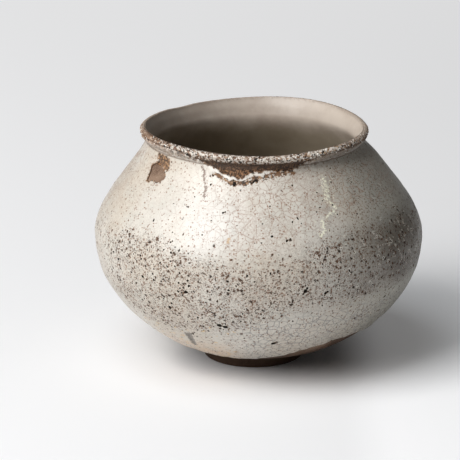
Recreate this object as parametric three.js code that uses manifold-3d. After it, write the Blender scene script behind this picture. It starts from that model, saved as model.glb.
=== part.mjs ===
// A squat stoneware jar: a wheel-thrown body with a turned foot, a full belly, a short collar and a
// rolled lip, coated outside and inside with a thick glaze. Millimetres, +Z up, origin on the ground
// at the middle of the jar's own box.
//
// The clay is made as a potter makes it, in four rings luted together: foot ring, lower bowl, upper
// bowl and collar. Each glaze coat is a skin of its own that follows the clay. The outer one stops in
// a ragged hem above the foot, has drawn back from the clay under the lip and has flaked away in one
// patch on the shoulder.

import * as THREE from 'three';
import { ParametricGeometry } from 'three/addons/geometries/ParametricGeometry.js';
import { mergeVertices } from 'three/addons/utils/BufferGeometryUtils.js';
import Module from 'manifold-3d';

// Heights, each measured up from the one before it
const FOOT_HEIGHT = 6.5;
const BELLY_RISE = 66.5;
const COLLAR_SEAM_RISE = 47;
const NECK_RISE = 7.5;
const LIP_RISE = 6.3;

// Outside of the clay
const FOOT_RADIUS = 28.4;
const FOOT_FLARE = 2.2;
const FOOT_EDGE = 0.9;
const FOOT_WALL = 6.2;
const BELLY_RADIUS = 89.1;
const NECK_RADIUS = 60;
const LIP_OVERHANG = 3.9;
const LIP_ROLL = 1.5;
const LIP_UNDERCUT = 1;

// How the clay curves between those sizes: the pull of each curve's handles
const BASE_SLOPE = 9.2;
const BASE_PULL = 8.9;
const LOWER_BELLY_PULL = 42.5;
const UPPER_BELLY_PULL = 20;
const NECK_PULL = 12;

// Inside of the clay
const FLOOR_THICKNESS = 6.2;
const FLOOR_RADIUS = 26;
const FLOOR_DISH = 0.8;
const BELLY_WALL = 5.2;
const NECK_WALL = 2.8;
const THROAT_DROP = 3.3;
const LIP_WIDTH = 3.5;
const LIP_INNER_DROP = 1.1;

// Glaze
const GLAZE_GAP = 0.3;
const GLAZE_THICKNESS = 0.7;
const HEM_RISE = 11;
const HEM_WAVES = [
  { lobes: 1, height: 7, turn: 6 },
  { lobes: 3, height: 3.4, turn: 85 },
  { lobes: 5, height: 1.1, turn: 12 },
];
const GLAZE_TOP_DROP = 2.6;
const CRAWL = { turn: -93, halfWidth: 38, depth: 9 };
const FLAKE = { turn: -143, belowNeck: 8.2, width: 13, length: 17, reach: 6 };

// How the jar left true on the wheel and in the kiln
const SWELL = { turn: 0, low: 6.5, high: 4.2, from: 10, to: 115 };
const RIM_WAVES = [
  { lobes: 1, height: 0.5, turn: 90 },
  { lobes: 2, height: 0.65, turn: 46 },
  { lobes: 3, height: 0.55, turn: -42 },
  { lobes: 4, height: 0.27, turn: -37 },
];
const DENT = { turn: 133, halfWidth: 12, depth: 0.6 };

// Facets
const COLUMNS = 56;
const LOWER_STEPS = 11;
const UPPER_STEPS = 8;
const NECK_STEPS = 3;
const LIP_STEPS = 10;
const INNER_STEPS = 6;
const HEM_STEPS = 6;
const TOP_STEPS = 5;

const FOOT_TOP = FOOT_HEIGHT;
const BELLY_HEIGHT = FOOT_TOP + BELLY_RISE;
const COLLAR_HEIGHT = BELLY_HEIGHT + COLLAR_SEAM_RISE;
const NECK_HEIGHT = COLLAR_HEIGHT + NECK_RISE;
const LIP_HEIGHT = NECK_HEIGHT + LIP_RISE;
const BASE_RADIUS = FOOT_RADIUS + FOOT_FLARE;
const LIP_RADIUS = NECK_RADIUS + LIP_OVERHANG;
const THROAT_RADIUS = NECK_RADIUS - NECK_WALL;
const THROAT_HEIGHT = NECK_HEIGHT - THROAT_DROP;
const FLOOR_HEIGHT = FOOT_TOP + FLOOR_THICKNESS;

const at = (radius, height) => new THREE.Vector2(radius, height);
const radians = THREE.MathUtils.degToRad;

// Outside of the wall: a curve from the foot to the belly, one from there to the neck, one round the lip
function pulled(radius, height, slope, pull) {
  return at(radius + pull * Math.cos(radians(slope)), height + pull * Math.sin(radians(slope)));
}

const outerLower = new THREE.CubicBezierCurve(
  at(BASE_RADIUS, FOOT_TOP),
  pulled(BASE_RADIUS, FOOT_TOP, BASE_SLOPE, BASE_PULL),
  at(BELLY_RADIUS, BELLY_HEIGHT - LOWER_BELLY_PULL),
  at(BELLY_RADIUS, BELLY_HEIGHT),
);

const outerUpper = new THREE.CubicBezierCurve(
  at(BELLY_RADIUS, BELLY_HEIGHT),
  at(BELLY_RADIUS, BELLY_HEIGHT + UPPER_BELLY_PULL),
  at(NECK_RADIUS, NECK_HEIGHT - NECK_PULL),
  at(NECK_RADIUS, NECK_HEIGHT),
);

const LIP_INNER_EDGE = 0.8;
const lipRoll = new THREE.SplineCurve([
  at(NECK_RADIUS, NECK_HEIGHT),
  at(LIP_RADIUS - LIP_UNDERCUT, LIP_HEIGHT - 2 * LIP_ROLL),
  at(LIP_RADIUS, LIP_HEIGHT - LIP_ROLL),
  at(LIP_RADIUS - LIP_ROLL, LIP_HEIGHT),
  at(LIP_RADIUS - LIP_WIDTH, LIP_HEIGHT - LIP_INNER_DROP),
  at(THROAT_RADIUS, THROAT_HEIGHT),
]);

// Inside of the wall: floor to belly, belly to throat
const INNER_BELLY_RADIUS = BELLY_RADIUS - BELLY_WALL;
const innerLower = new THREE.CubicBezierCurve(
  at(FLOOR_RADIUS, FLOOR_HEIGHT),
  pulled(FLOOR_RADIUS, FLOOR_HEIGHT, BASE_SLOPE, BASE_PULL),
  at(INNER_BELLY_RADIUS, BELLY_HEIGHT - LOWER_BELLY_PULL),
  at(INNER_BELLY_RADIUS, BELLY_HEIGHT),
);

const innerUpper = new THREE.CubicBezierCurve(
  at(INNER_BELLY_RADIUS, BELLY_HEIGHT),
  at(INNER_BELLY_RADIUS, BELLY_HEIGHT + UPPER_BELLY_PULL),
  at(THROAT_RADIUS, THROAT_HEIGHT - NECK_PULL),
  at(THROAT_RADIUS, THROAT_HEIGHT),
);

// Where a rising curve passes a height
function parameterAt(curve, height) {
  let low = 0;
  let high = 1;
  for (let i = 0; i < 40; i += 1) {
    const middle = (low + high) / 2;
    if (curve.getPoint(middle).y < height) low = middle;
    else high = middle;
  }
  return low;
}

function stations(curve, from, to, steps) {
  return Array.from({ length: steps + 1 }, (_, i) => curve.getPoint(from + (to - from) * (i / steps)));
}

// The collar seam is flat, so both clay rings that meet there get exactly its height
function onSeam(curve) {
  return at(curve.getPoint(parameterAt(curve, COLLAR_HEIGHT)).x, COLLAR_HEIGHT);
}

const outerSeam = onSeam(outerUpper);
const innerSeam = onSeam(innerUpper);
const outerSeamAt = parameterAt(outerUpper, COLLAR_HEIGHT);
const innerSeamAt = parameterAt(innerUpper, COLLAR_HEIGHT);

// The swelling on one side, the waves of the rim and its dent, as one shift of a point of the true form
function wave(waves, turn) {
  return waves.reduce((sum, w) => sum + w.height * Math.cos(w.lobes * (turn - radians(w.turn))), 0);
}

function bump(turn, { turn: middle, halfWidth }) {
  const past = THREE.MathUtils.euclideanModulo(turn - radians(middle) + Math.PI, 2 * Math.PI) - Math.PI;
  return 0.5 + 0.5 * Math.cos(Math.PI * Math.min(1, Math.abs(past) / radians(halfWidth)));
}

function swelling(height) {
  const up = THREE.MathUtils.clamp((height - FOOT_TOP) / (SWELL.from - FOOT_TOP), 0, 1);
  const fall = THREE.MathUtils.clamp((height - SWELL.from) / (SWELL.to - SWELL.from), 0, 1);
  const end = THREE.MathUtils.smoothstep(height, SWELL.to, NECK_HEIGHT);
  return Math.sin(up * Math.PI / 2) * THREE.MathUtils.lerp(SWELL.low, SWELL.high, fall) * (1 - end);
}

function settled(point) {
  const turn = Math.atan2(point.y, point.x);
  const side = 0.5 + 0.5 * Math.cos(turn - radians(SWELL.turn));
  const shift = side * swelling(point.z);
  const rise = THREE.MathUtils.smoothstep(point.z, COLLAR_HEIGHT, LIP_HEIGHT - LIP_ROLL);
  return new THREE.Vector3(
    point.x + shift * Math.cos(radians(SWELL.turn)),
    point.y + shift * Math.sin(radians(SWELL.turn)),
    point.z + rise * (wave(RIM_WAVES, turn) - DENT.depth * bump(turn, DENT)),
  );
}

function settle(geometry) {
  const places = geometry.attributes.position;
  const point = new THREE.Vector3();
  for (let i = 0; i < places.count; i += 1) {
    point.copy(settled(point.fromBufferAttribute(places, i)));
    places.setXYZ(i, point.x, point.y, point.z);
  }
  geometry.computeVertexNormals();
  return geometry;
}

function turned(outline) {
  return settle(new THREE.LatheGeometry(outline, COLUMNS).rotateX(Math.PI / 2));
}

// The clay, as outlines that run up the outside and come back down the inside
function footRing() {
  return turned([
    at(FOOT_RADIUS - FOOT_WALL, FOOT_TOP),
    at(FOOT_RADIUS - FOOT_WALL, FOOT_EDGE),
    at(FOOT_RADIUS - FOOT_WALL + FOOT_EDGE, 0),
    at(FOOT_RADIUS - FOOT_EDGE, 0),
    at(FOOT_RADIUS, FOOT_EDGE),
    at(FOOT_RADIUS + FOOT_FLARE / 4, FOOT_TOP / 2),
    at(BASE_RADIUS, FOOT_TOP),
    at(FOOT_RADIUS - FOOT_WALL, FOOT_TOP),
  ]);
}

function lowerBowl() {
  return turned([
    at(0, FOOT_TOP),
    ...stations(outerLower, 0, 1, LOWER_STEPS),
    ...stations(innerLower, 1, 0, INNER_STEPS),
    at(0, FLOOR_HEIGHT - FLOOR_DISH),
  ]);
}

function upperBowl() {
  return turned([
    ...stations(outerUpper, 0, outerSeamAt, UPPER_STEPS).slice(0, -1),
    outerSeam,
    innerSeam,
    ...stations(innerUpper, innerSeamAt, 0, INNER_STEPS).slice(1),
    at(BELLY_RADIUS, BELLY_HEIGHT),
  ]);
}

function collar() {
  return turned([
    outerSeam,
    ...stations(outerUpper, outerSeamAt, 1, NECK_STEPS).slice(1),
    ...stations(lipRoll, 0, 1, LIP_STEPS).slice(1),
    innerSeam,
    outerSeam,
  ]);
}

// The inner coat covers the floor and the wall up to the inside of the lip, on the clay's own stations
function beside(points, distance) {
  return points.map((point, i) => {
    const before = points[Math.max(i - 1, 0)];
    const after = points[Math.min(i + 1, points.length - 1)];
    const along = after.clone().sub(before).normalize();
    return at(Math.max(0, point.x - along.y * distance), point.y + along.x * distance);
  });
}

function innerGlaze() {
  const lipInside = stations(lipRoll, 1, LIP_INNER_EDGE, 2);
  const clay = [
    at(0, FLOOR_HEIGHT - FLOOR_DISH),
    ...stations(innerLower, 0, 1, INNER_STEPS),
    ...stations(innerUpper, 0, innerSeamAt, INNER_STEPS).slice(1, -1),
    innerSeam,
    ...lipInside,
  ];
  return turned([...beside(clay, GLAZE_GAP), ...beside(clay, GLAZE_GAP + GLAZE_THICKNESS).reverse()]);
}

// The outer coat runs from its hem to its top edge, both of which wander round the jar. A place on the
// outside of the clay is 0 at the foot, 1 at the belly and 2 at the neck, and goes on to 3 round the lip.
const outside = [outerLower, outerUpper, lipRoll];

function besideOutside(place, distance) {
  const index = Math.min(Math.floor(place), outside.length - 1);
  const part = place - index;
  const point = outside[index].getPoint(part);
  const along = outside[index].getTangent(part);
  return at(point.x + along.y * distance, point.y - along.x * distance);
}

function hemPlace(turn) {
  return parameterAt(outerLower, FOOT_TOP + HEM_RISE + wave(HEM_WAVES, turn));
}

function topPlace(turn) {
  const height = LIP_HEIGHT - GLAZE_TOP_DROP - CRAWL.depth * bump(turn, CRAWL);
  return height < NECK_HEIGHT ? 1 + parameterAt(outerUpper, height) : 2 + parameterAt(lipRoll, height);
}

// Between its ragged edges the coat keeps the clay's own stations, so the gap to the clay stays even
const clayPlaces = [
  ...Array.from({ length: LOWER_STEPS }, (_, i) => i / LOWER_STEPS),
  ...Array.from({ length: UPPER_STEPS }, (_, i) => 1 + outerSeamAt * i / UPPER_STEPS),
];
const evenPlaces = clayPlaces.slice(HEM_STEPS, -1);

function glazePlaces(turn) {
  const spread = (from, to, steps) => Array.from({ length: steps }, (_, i) => from + (to - from) * i / steps);
  const hem = spread(hemPlace(turn), evenPlaces[0], HEM_STEPS);
  const last = evenPlaces.at(-1);
  const top = topPlace(turn);
  return [...hem, ...evenPlaces.slice(0, -1), ...spread(last, top, TOP_STEPS), top];
}

function outerGlazeSkin() {
  const faceStations = HEM_STEPS + evenPlaces.length + TOP_STEPS;
  const loop = 2 * faceStations;
  const skin = new ParametricGeometry((u, v, target) => {
    const turn = 2 * Math.PI * u;
    const station = Math.round(v * loop) % loop;
    const onFace = station < faceStations;
    const place = glazePlaces(turn)[onFace ? station : loop - 1 - station];
    const spot = besideOutside(place, GLAZE_GAP + (onFace ? GLAZE_THICKNESS : 0));
    target.set(spot.x * Math.cos(turn), spot.x * Math.sin(turn), spot.y);
  }, COLUMNS, loop);
  return settle(skin);
}

// A ragged flake in two lobes, about as wide and as tall as given, the smaller one up towards the lip
function flakeCutter() {
  const { width, length, reach } = FLAKE;
  const edge = [
    [-0.38, -0.5], [-0.56, -0.1], [-0.34, 0.16], [-0.3, 0.42], [-0.06, 0.54], [0.5, 0.38],
    [0.58, 0.06], [0.42, -0.08], [0.52, -0.3], [0.26, -0.46], [-0.14, -0.56],
  ].map(([across, up]) => at(across * width, up * length));
  const outline = new THREE.Shape(new THREE.SplineCurve([...edge, edge[0]]).getSpacedPoints(28).slice(0, -1));
  const cutter = new THREE.ExtrudeGeometry(outline, { depth: 2 * reach, bevelEnabled: false });
  cutter.translate(0, 0, -reach);
  const place = 1 + parameterAt(outerUpper, NECK_HEIGHT - FLAKE.belowNeck);
  const spot = besideOutside(place, 0);
  const normal = besideOutside(place, 1).sub(spot);
  const lean = Math.atan2(normal.y, normal.x);
  cutter.rotateX(Math.PI / 2 - lean).rotateZ(Math.PI / 2);
  cutter.translate(spot.x, 0, spot.y).rotateZ(radians(FLAKE.turn));
  return cutter;
}

const wasm = await Module();
wasm.setup();

function solid(geometry) {
  const bare = geometry.clone();
  bare.deleteAttribute('normal');
  bare.deleteAttribute('uv');
  const merged = mergeVertices(bare, 1e-4);
  const mesh = new wasm.Mesh({
    numProp: 3,
    vertProperties: new Float32Array(merged.attributes.position.array),
    triVerts: new Uint32Array(merged.index.array),
  });
  return new wasm.Manifold(mesh);
}

function outerGlaze() {
  const cut = solid(outerGlazeSkin()).subtract(solid(flakeCutter())).getMesh();
  const geometry = new THREE.BufferGeometry();
  geometry.setAttribute('position', new THREE.BufferAttribute(cut.vertProperties, 3));
  geometry.setIndex(new THREE.BufferAttribute(cut.triVerts, 1));
  geometry.computeVertexNormals();
  return geometry;
}

const bareClay = new THREE.MeshStandardMaterial({ color: 0x6b4a36, roughness: 0.85, metalness: 0 });
const lipClay = new THREE.MeshStandardMaterial({ color: 0x7d6353, roughness: 0.6, metalness: 0 });
const paleGlaze = new THREE.MeshStandardMaterial({ color: 0xd9d3c8, roughness: 0.35, metalness: 0 });
const innerCoat = new THREE.MeshStandardMaterial({ color: 0xb9ab98, roughness: 0.45, metalness: 0 });

const jar = new THREE.Group();

function add(name, geometry, material) {
  const mesh = new THREE.Mesh(geometry, material);
  mesh.name = name;
  jar.add(mesh);
}

add('foot_ring', footRing(), bareClay);
add('lower_bowl', lowerBowl(), bareClay);
add('upper_bowl', upperBowl(), bareClay);
add('collar', collar(), lipClay);
add('outer_glaze', outerGlaze(), paleGlaze);
add('inner_glaze', innerGlaze(), innerCoat);

// The swelling pushes one side out, so the jar is set back over the middle of its own box
const middle = new THREE.Box3().setFromObject(jar).getCenter(new THREE.Vector3());
jar.position.set(-middle.x, -middle.y, 0);

export default jar;
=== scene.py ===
# %% [markdown]
# # A squat stoneware jar
#
# The real jar is thrown on a wheel, its foot is turned, its lip is rolled outwards, and it is dipped in a
# thick pale glaze that crackled, crawled back from the clay under the lip and flaked away in one place.
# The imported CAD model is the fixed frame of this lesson: every size and place below is in its metres.

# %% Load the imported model
import math

import bmesh
import bpy
import numpy as np
from mathutils import Matrix, Vector


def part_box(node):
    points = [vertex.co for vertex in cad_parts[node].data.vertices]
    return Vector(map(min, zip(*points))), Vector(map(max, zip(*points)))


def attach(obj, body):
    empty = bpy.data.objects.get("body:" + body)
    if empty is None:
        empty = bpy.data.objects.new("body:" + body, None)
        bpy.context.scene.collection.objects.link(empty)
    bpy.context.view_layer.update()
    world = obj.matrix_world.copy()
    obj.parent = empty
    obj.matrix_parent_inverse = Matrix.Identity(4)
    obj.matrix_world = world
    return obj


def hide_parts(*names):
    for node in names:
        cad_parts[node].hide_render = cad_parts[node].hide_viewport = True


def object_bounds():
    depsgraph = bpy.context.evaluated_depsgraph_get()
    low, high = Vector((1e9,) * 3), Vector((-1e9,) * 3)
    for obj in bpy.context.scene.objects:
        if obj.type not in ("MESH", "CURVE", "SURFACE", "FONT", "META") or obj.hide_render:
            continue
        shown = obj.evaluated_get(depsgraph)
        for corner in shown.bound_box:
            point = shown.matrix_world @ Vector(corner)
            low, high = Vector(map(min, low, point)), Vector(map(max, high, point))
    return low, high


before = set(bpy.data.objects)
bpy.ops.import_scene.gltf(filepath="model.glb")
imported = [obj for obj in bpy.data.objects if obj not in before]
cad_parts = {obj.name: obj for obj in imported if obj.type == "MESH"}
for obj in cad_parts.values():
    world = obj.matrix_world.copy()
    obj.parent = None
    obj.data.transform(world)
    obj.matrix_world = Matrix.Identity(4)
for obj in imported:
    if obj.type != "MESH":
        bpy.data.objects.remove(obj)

MM = 0.001
cad_low, cad_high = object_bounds()
print("CAD box in mm:", [round(side / MM, 1) for side in cad_high - cad_low])

# %% [markdown]
# ## Camera
#
# The photograph looks a little down on the jar through a long lens, and cuts it off on the right. The jar
# was turned on an axis through the middle of its foot, which isn't quite the middle of its box, because the
# belly swells to one side. The camera stands in front of that axis, turned half a degree to the left of it.

# %% The photograph's camera
CAMERA_DISTANCE = 1.350
CAMERA_HEIGHT = 0.4895
CAMERA_PITCH = 0.2996
CAMERA_YAW = 0.00998
CAMERA_LENS = 195.62

foot_low, foot_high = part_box("foot_ring")
AXIS_X = (foot_low.x + foot_high.x) / 2
camera_data = bpy.data.cameras.new("camera")
camera_data.lens = CAMERA_LENS
camera = bpy.data.objects.new("camera", camera_data)
camera.location = (AXIS_X, -CAMERA_DISTANCE, CAMERA_HEIGHT)
camera.rotation_euler = (math.pi / 2 - CAMERA_PITCH, 0, CAMERA_YAW)
bpy.context.scene.collection.objects.link(camera)
bpy.context.scene.camera = camera
print("The jar's axis is at x =", round(AXIS_X / MM, 2), "mm")

# %% [markdown]
# ## The potter's outline
#
# A wheel-thrown wall is one outline turned round an axis. The heights of the seams and the widest radii
# come from the frame. The curves between them are the same few Bezier curves as in the CAD source: foot to
# belly, belly to neck, and a spline round the rolled lip.

# %% Sizes of the wall
FOOT_TOP = foot_high.z
BASE_RADIUS = (foot_high.y - foot_low.y) / 2
BELLY_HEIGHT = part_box("lower_bowl")[1].z
BELLY_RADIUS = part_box("lower_bowl")[1].y
COLLAR_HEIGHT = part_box("upper_bowl")[1].z
LIP_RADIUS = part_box("collar")[1].y
FOOT_FLARE = 2.2 * MM
FOOT_RADIUS = BASE_RADIUS - FOOT_FLARE
FOOT_EDGE = 0.9 * MM
FOOT_WALL = 6.2 * MM
NECK_RADIUS = LIP_RADIUS - 3.9 * MM
NECK_HEIGHT = COLLAR_HEIGHT + 7.5 * MM
LIP_HEIGHT = NECK_HEIGHT + 6.3 * MM
LIP_ROLL = 1.5 * MM
LIP_UNDERCUT = 1.0 * MM
LIP_WIDTH = 3.5 * MM
LIP_INNER_DROP = 1.1 * MM
THROAT_RADIUS = NECK_RADIUS - 2.8 * MM
THROAT_HEIGHT = NECK_HEIGHT - 3.3 * MM
FLOOR_HEIGHT = FOOT_TOP + 6.2 * MM
FLOOR_RADIUS = 26 * MM
FLOOR_DISH = 0.8 * MM
INNER_BELLY_RADIUS = BELLY_RADIUS - 5.2 * MM
BASE_SLOPE = math.radians(9.2)
BASE_PULL = 8.9 * MM
LOWER_BELLY_PULL = 42.5 * MM
UPPER_BELLY_PULL = 20 * MM
NECK_PULL = 12 * MM
print("Seams in mm:", [round(z / MM, 2) for z in (FOOT_TOP, BELLY_HEIGHT, COLLAR_HEIGHT)])


# %% Curves of the wall
def bezier(corners, share):
    a, b, c, d = (np.array(corner) for corner in corners)
    t = np.asarray(share, float)[:, None]
    return (1 - t) ** 3 * a + 3 * (1 - t) ** 2 * t * b + 3 * (1 - t) * t ** 2 * c + t ** 3 * d


def lower_curve(radius, height, belly):
    along_base = (radius + BASE_PULL * math.cos(BASE_SLOPE), height + BASE_PULL * math.sin(BASE_SLOPE))
    return [(radius, height), along_base, (belly, BELLY_HEIGHT - LOWER_BELLY_PULL), (belly, BELLY_HEIGHT)]


def upper_curve(belly, radius, height):
    pulled_up = (belly, BELLY_HEIGHT + UPPER_BELLY_PULL)
    return [(belly, BELLY_HEIGHT), pulled_up, (radius, height - NECK_PULL), (radius, height)]


def spline(points, share):
    """A uniform Catmull-Rom spline through the points, with its ends held."""
    held = np.array([points[0], *points, points[-1]])
    spans = len(points) - 1
    index = np.clip((np.asarray(share, float) * spans).astype(int), 0, spans - 1)
    w = (np.asarray(share, float) * spans - index)[:, None]
    p0, p1, p2, p3 = (held[index + k] for k in range(4))
    v0, v1 = (p2 - p0) / 2, (p3 - p1) / 2
    return (2 * p1 - 2 * p2 + v0 + v1) * w ** 3 + (3 * p2 - 3 * p1 - 2 * v0 - v1) * w ** 2 + v0 * w + p1


OUTER_LOWER = lower_curve(BASE_RADIUS, FOOT_TOP, BELLY_RADIUS)
OUTER_UPPER = upper_curve(BELLY_RADIUS, NECK_RADIUS, NECK_HEIGHT)
INNER_LOWER = lower_curve(FLOOR_RADIUS, FLOOR_HEIGHT, INNER_BELLY_RADIUS)
INNER_UPPER = upper_curve(INNER_BELLY_RADIUS, THROAT_RADIUS, THROAT_HEIGHT)
LIP_POINTS = [
    (NECK_RADIUS, NECK_HEIGHT),
    (LIP_RADIUS - LIP_UNDERCUT, LIP_HEIGHT - 2 * LIP_ROLL),
    (LIP_RADIUS, LIP_HEIGHT - LIP_ROLL),
    (LIP_RADIUS - LIP_ROLL, LIP_HEIGHT),
    (LIP_RADIUS - LIP_WIDTH, LIP_HEIGHT - LIP_INNER_DROP),
    (THROAT_RADIUS, THROAT_HEIGHT),
]


def stations(corners, start, end, steps):
    return bezier(corners, np.linspace(start, end, steps + 1))


def share_at(corners, height):
    shares = np.linspace(0, 1, 2001)
    return float(np.interp(height, bezier(corners, shares)[:, 1], shares))


def beside(points, distance):
    """An outline moved to its left by a distance, which may be one number or one for each point."""
    points = np.array(points)
    along = np.gradient(points, axis=0)
    along /= np.linalg.norm(along, axis=1)[:, None]
    moved = points + np.reshape(distance, (-1, 1)) * np.stack([-along[:, 1], along[:, 0]], 1)
    moved[:, 0] = np.maximum(moved[:, 0], 0)
    return moved


# %% [markdown]
# ## How the jar settled
#
# No thrown jar is true. This one swells towards +X, and its rim dips and rises in a few slow waves, with one
# small dent at the back. Both are one function that moves any point of the true form, so the clay and the
# glaze leave true together.

# %% Swelling, rim waves and dent
SWELL_LOW = 6.5 * MM
SWELL_HIGH = 4.2 * MM
SWELL_FROM = 10 * MM
SWELL_TO = 115 * MM
RIM_WAVES = [(1, 0.5 * MM, 90), (2, 0.65 * MM, 46), (3, 0.55 * MM, -42), (4, 0.27 * MM, -37)]
DENT_TURN = 133
DENT_HALF_WIDTH = 12
DENT_DEPTH = 0.6 * MM


def smooth(value, low, high):
    t = np.clip((value - low) / (high - low), 0, 1)
    return t * t * (3 - 2 * t)


def wave(waves, turn):
    return sum(height * np.cos(lobes * (turn - math.radians(at))) for lobes, height, at in waves)


def turn_away(turn, degrees):
    """How far each turn, in radians, is from an angle in degrees, the short way round."""
    return (turn - math.radians(degrees) + math.pi) % (2 * math.pi) - math.pi


def swelling(height):
    up = np.clip((height - FOOT_TOP) / (SWELL_FROM - FOOT_TOP), 0, 1)
    fall = np.clip((height - SWELL_FROM) / (SWELL_TO - SWELL_FROM), 0, 1)
    size = SWELL_LOW + (SWELL_HIGH - SWELL_LOW) * fall
    return np.sin(up * math.pi / 2) * size * (1 - smooth(height, SWELL_TO, NECK_HEIGHT))


def settled(points):
    x, y, z = np.moveaxis(np.asarray(points, float), -1, 0)
    radius = np.maximum(np.hypot(x, y), 1e-9)
    turn = np.arctan2(y, x)
    away = np.minimum(1, np.abs(turn_away(turn, DENT_TURN)) / math.radians(DENT_HALF_WIDTH))
    dent = DENT_DEPTH * (0.5 + 0.5 * np.cos(math.pi * away))
    rise = smooth(z, COLLAR_HEIGHT, LIP_HEIGHT - LIP_ROLL)
    shift = (0.5 + 0.5 * x / radius) * swelling(z)
    return np.stack([x + shift + AXIS_X, y, z + rise * (wave(RIM_WAVES, turn) - dent)], -1)


# %% [markdown]
# ## Where the glaze stops under the lip
#
# The glaze ends high on the lip, except at the front, where it crawled back from the clay along a ragged
# line. The line is a list of turns in degrees, where -90 faces the camera, and of true heights in mm. Small
# waves fray it. The grains of the lip and the skin of glaze both need it.

# %% The ragged top edge of the glaze
GLAZE_TOP = LIP_HEIGHT - 2.6 * MM
CRAWL = [
    (-131, 131.2), (-124, 129.6), (-118, 128.0), (-115.7, 127.3), (-111.7, 125.6), (-108, 123.8),
    (-105, 123.1), (-102.7, 121.8), (-100, 121.0), (-97.7, 121.2), (-95.3, 121.6), (-93, 123.0),
    (-90.3, 124.2), (-83.3, 124.7), (-77.3, 124.6), (-70.5, 124.9), (-68, 125.8), (-65.5, 126.4),
    (-62, 127.8), (-59, 128.9), (-55, 131.2),
]
SLOW_FRINGE = (8, (14, 110), 0.20 * MM)
QUICK_FRINGE = (9, (90, 150), 0.08 * MM)


def ragged(turn, seed, lobes, size):
    """A closed wandering line round the jar: many small waves with random places, the same each run."""
    random = np.random.default_rng(seed)
    total = np.zeros_like(turn)
    for count in range(*lobes):
        total += random.normal() * np.cos(count * turn + random.uniform(0, 2 * math.pi)) / count ** 0.6
    return size * total / total.std()


def crawl_height(turn):
    places = np.array(CRAWL)
    height = np.interp(np.degrees(turn), places[:, 0], places[:, 1]) * MM
    pulled = smooth(GLAZE_TOP - height, 0, 4 * MM)
    fringe = ragged(turn, *SLOW_FRINGE) + ragged(turn, *QUICK_FRINGE)
    return np.minimum(height + fringe * (1 + 1.3 * pulled), GLAZE_TOP)


# %% [markdown]
# ## Node trees, written as short lines
#
# Both geometry and materials are node trees here. Bench adds a node, sets or wires its inputs and hands back
# its output, so that a tree reads from top to bottom like a recipe.

# %% A bench for building node trees
class Bench:
    def __init__(self, tree):
        self.tree = tree

    def add(self, kind, inputs=None, out=0, **settings):
        node = self.tree.nodes.new(kind)
        for name, value in settings.items():
            setattr(node, name, value)
        for name, value in (inputs or {}).items():
            if isinstance(value, bpy.types.NodeSocket):
                self.tree.links.new(value, node.inputs[name])
            else:
                node.inputs[name].default_value = value
        return node.outputs[out]

    def math(self, operation, *values, clamp=False):
        inputs = dict(enumerate(values))
        return self.add("ShaderNodeMath", inputs, operation=operation, use_clamp=clamp)

    def times(self, a, b, clamp=False):
        return self.math("MULTIPLY", a, b, clamp=clamp)

    def plus(self, a, b):
        return self.math("ADD", a, b)

    def less(self, a, b):
        return self.math("SUBTRACT", a, b)

    def most(self, a, b):
        return self.math("MAXIMUM", a, b)

    def between(self, value, low, high, start=0.0, end=1.0):
        """Eases from start to end while value goes from low to high."""
        inputs = {"Value": value, "From Min": low, "From Max": high, "To Min": start, "To Max": end}
        return self.add("ShaderNodeMapRange", inputs, interpolation_type="SMOOTHSTEP")

    def named(self, name):
        return self.add("ShaderNodeAttribute", out="Fac", attribute_name=name)

    def blend(self, share, a, b):
        """Mixes two colours, each a socket or three plain numbers."""
        a, b = (side if isinstance(side, bpy.types.NodeSocket) else (*side, 1) for side in (a, b))
        return self.add("ShaderNodeMix", {0: share, 6: a, 7: b}, out=2, data_type="RGBA")

    def noise(self, where, scale, detail=2.0, roughness=0.5, out="Fac"):
        inputs = {"Vector": where, "Scale": scale, "Detail": detail, "Roughness": roughness}
        return self.add("ShaderNodeTexNoise", inputs, out=out)

    def cells(self, where, scale, out="Distance", feature="F1"):
        return self.add("ShaderNodeTexVoronoi", {"Vector": where, "Scale": scale}, out=out, feature=feature)

    def axis(self, place, letter):
        return self.add("ShaderNodeSeparateXYZ", {0: place}, out=letter)

    def scaled(self, vector, amount):
        return self.add("ShaderNodeVectorMath", {0: vector, "Scale": amount}, operation="SCALE")

    def shake(self, where, scale, amount, detail=2.0, roughness=0.6):
        """A random shift that changes smoothly from place to place."""
        drift = self.noise(where, scale, detail, roughness, out="Color")
        middle = (0.5, 0.5, 0.5)
        centred = self.add("ShaderNodeVectorMath", {0: drift, 1: middle}, operation="SUBTRACT")
        return self.scaled(centred, amount)

    def bump(self, strength, depth, height):
        return self.add("ShaderNodeBump", {"Strength": strength, "Distance": depth, "Height": height})


# %% Trees that make geometry
def new_tree(name, sizes):
    """A geometry tree with one input for each named size, and its bench, input node and output node."""
    tree = bpy.data.node_groups.new(name, "GeometryNodeTree")
    tree.interface.new_socket("Geometry", in_out="INPUT", socket_type="NodeSocketGeometry")
    for size, kind in sizes.items():
        tree.interface.new_socket(size, in_out="INPUT", socket_type="NodeSocket" + kind)
    tree.interface.new_socket("Geometry", in_out="OUTPUT", socket_type="NodeSocketGeometry")
    return tree, Bench(tree), tree.nodes.new("NodeGroupInput"), tree.nodes.new("NodeGroupOutput")


def finish_tree(tree, bench, geometry, material, result):
    """Ends a geometry tree the way the export needs it: real meshes, each with its material."""
    real = bench.add("GeometryNodeRealizeInstances", {"Geometry": geometry})
    painted = bench.add("GeometryNodeSetMaterial", {"Geometry": real, "Material": material})
    tree.links.new(painted, result.inputs["Geometry"])


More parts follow.
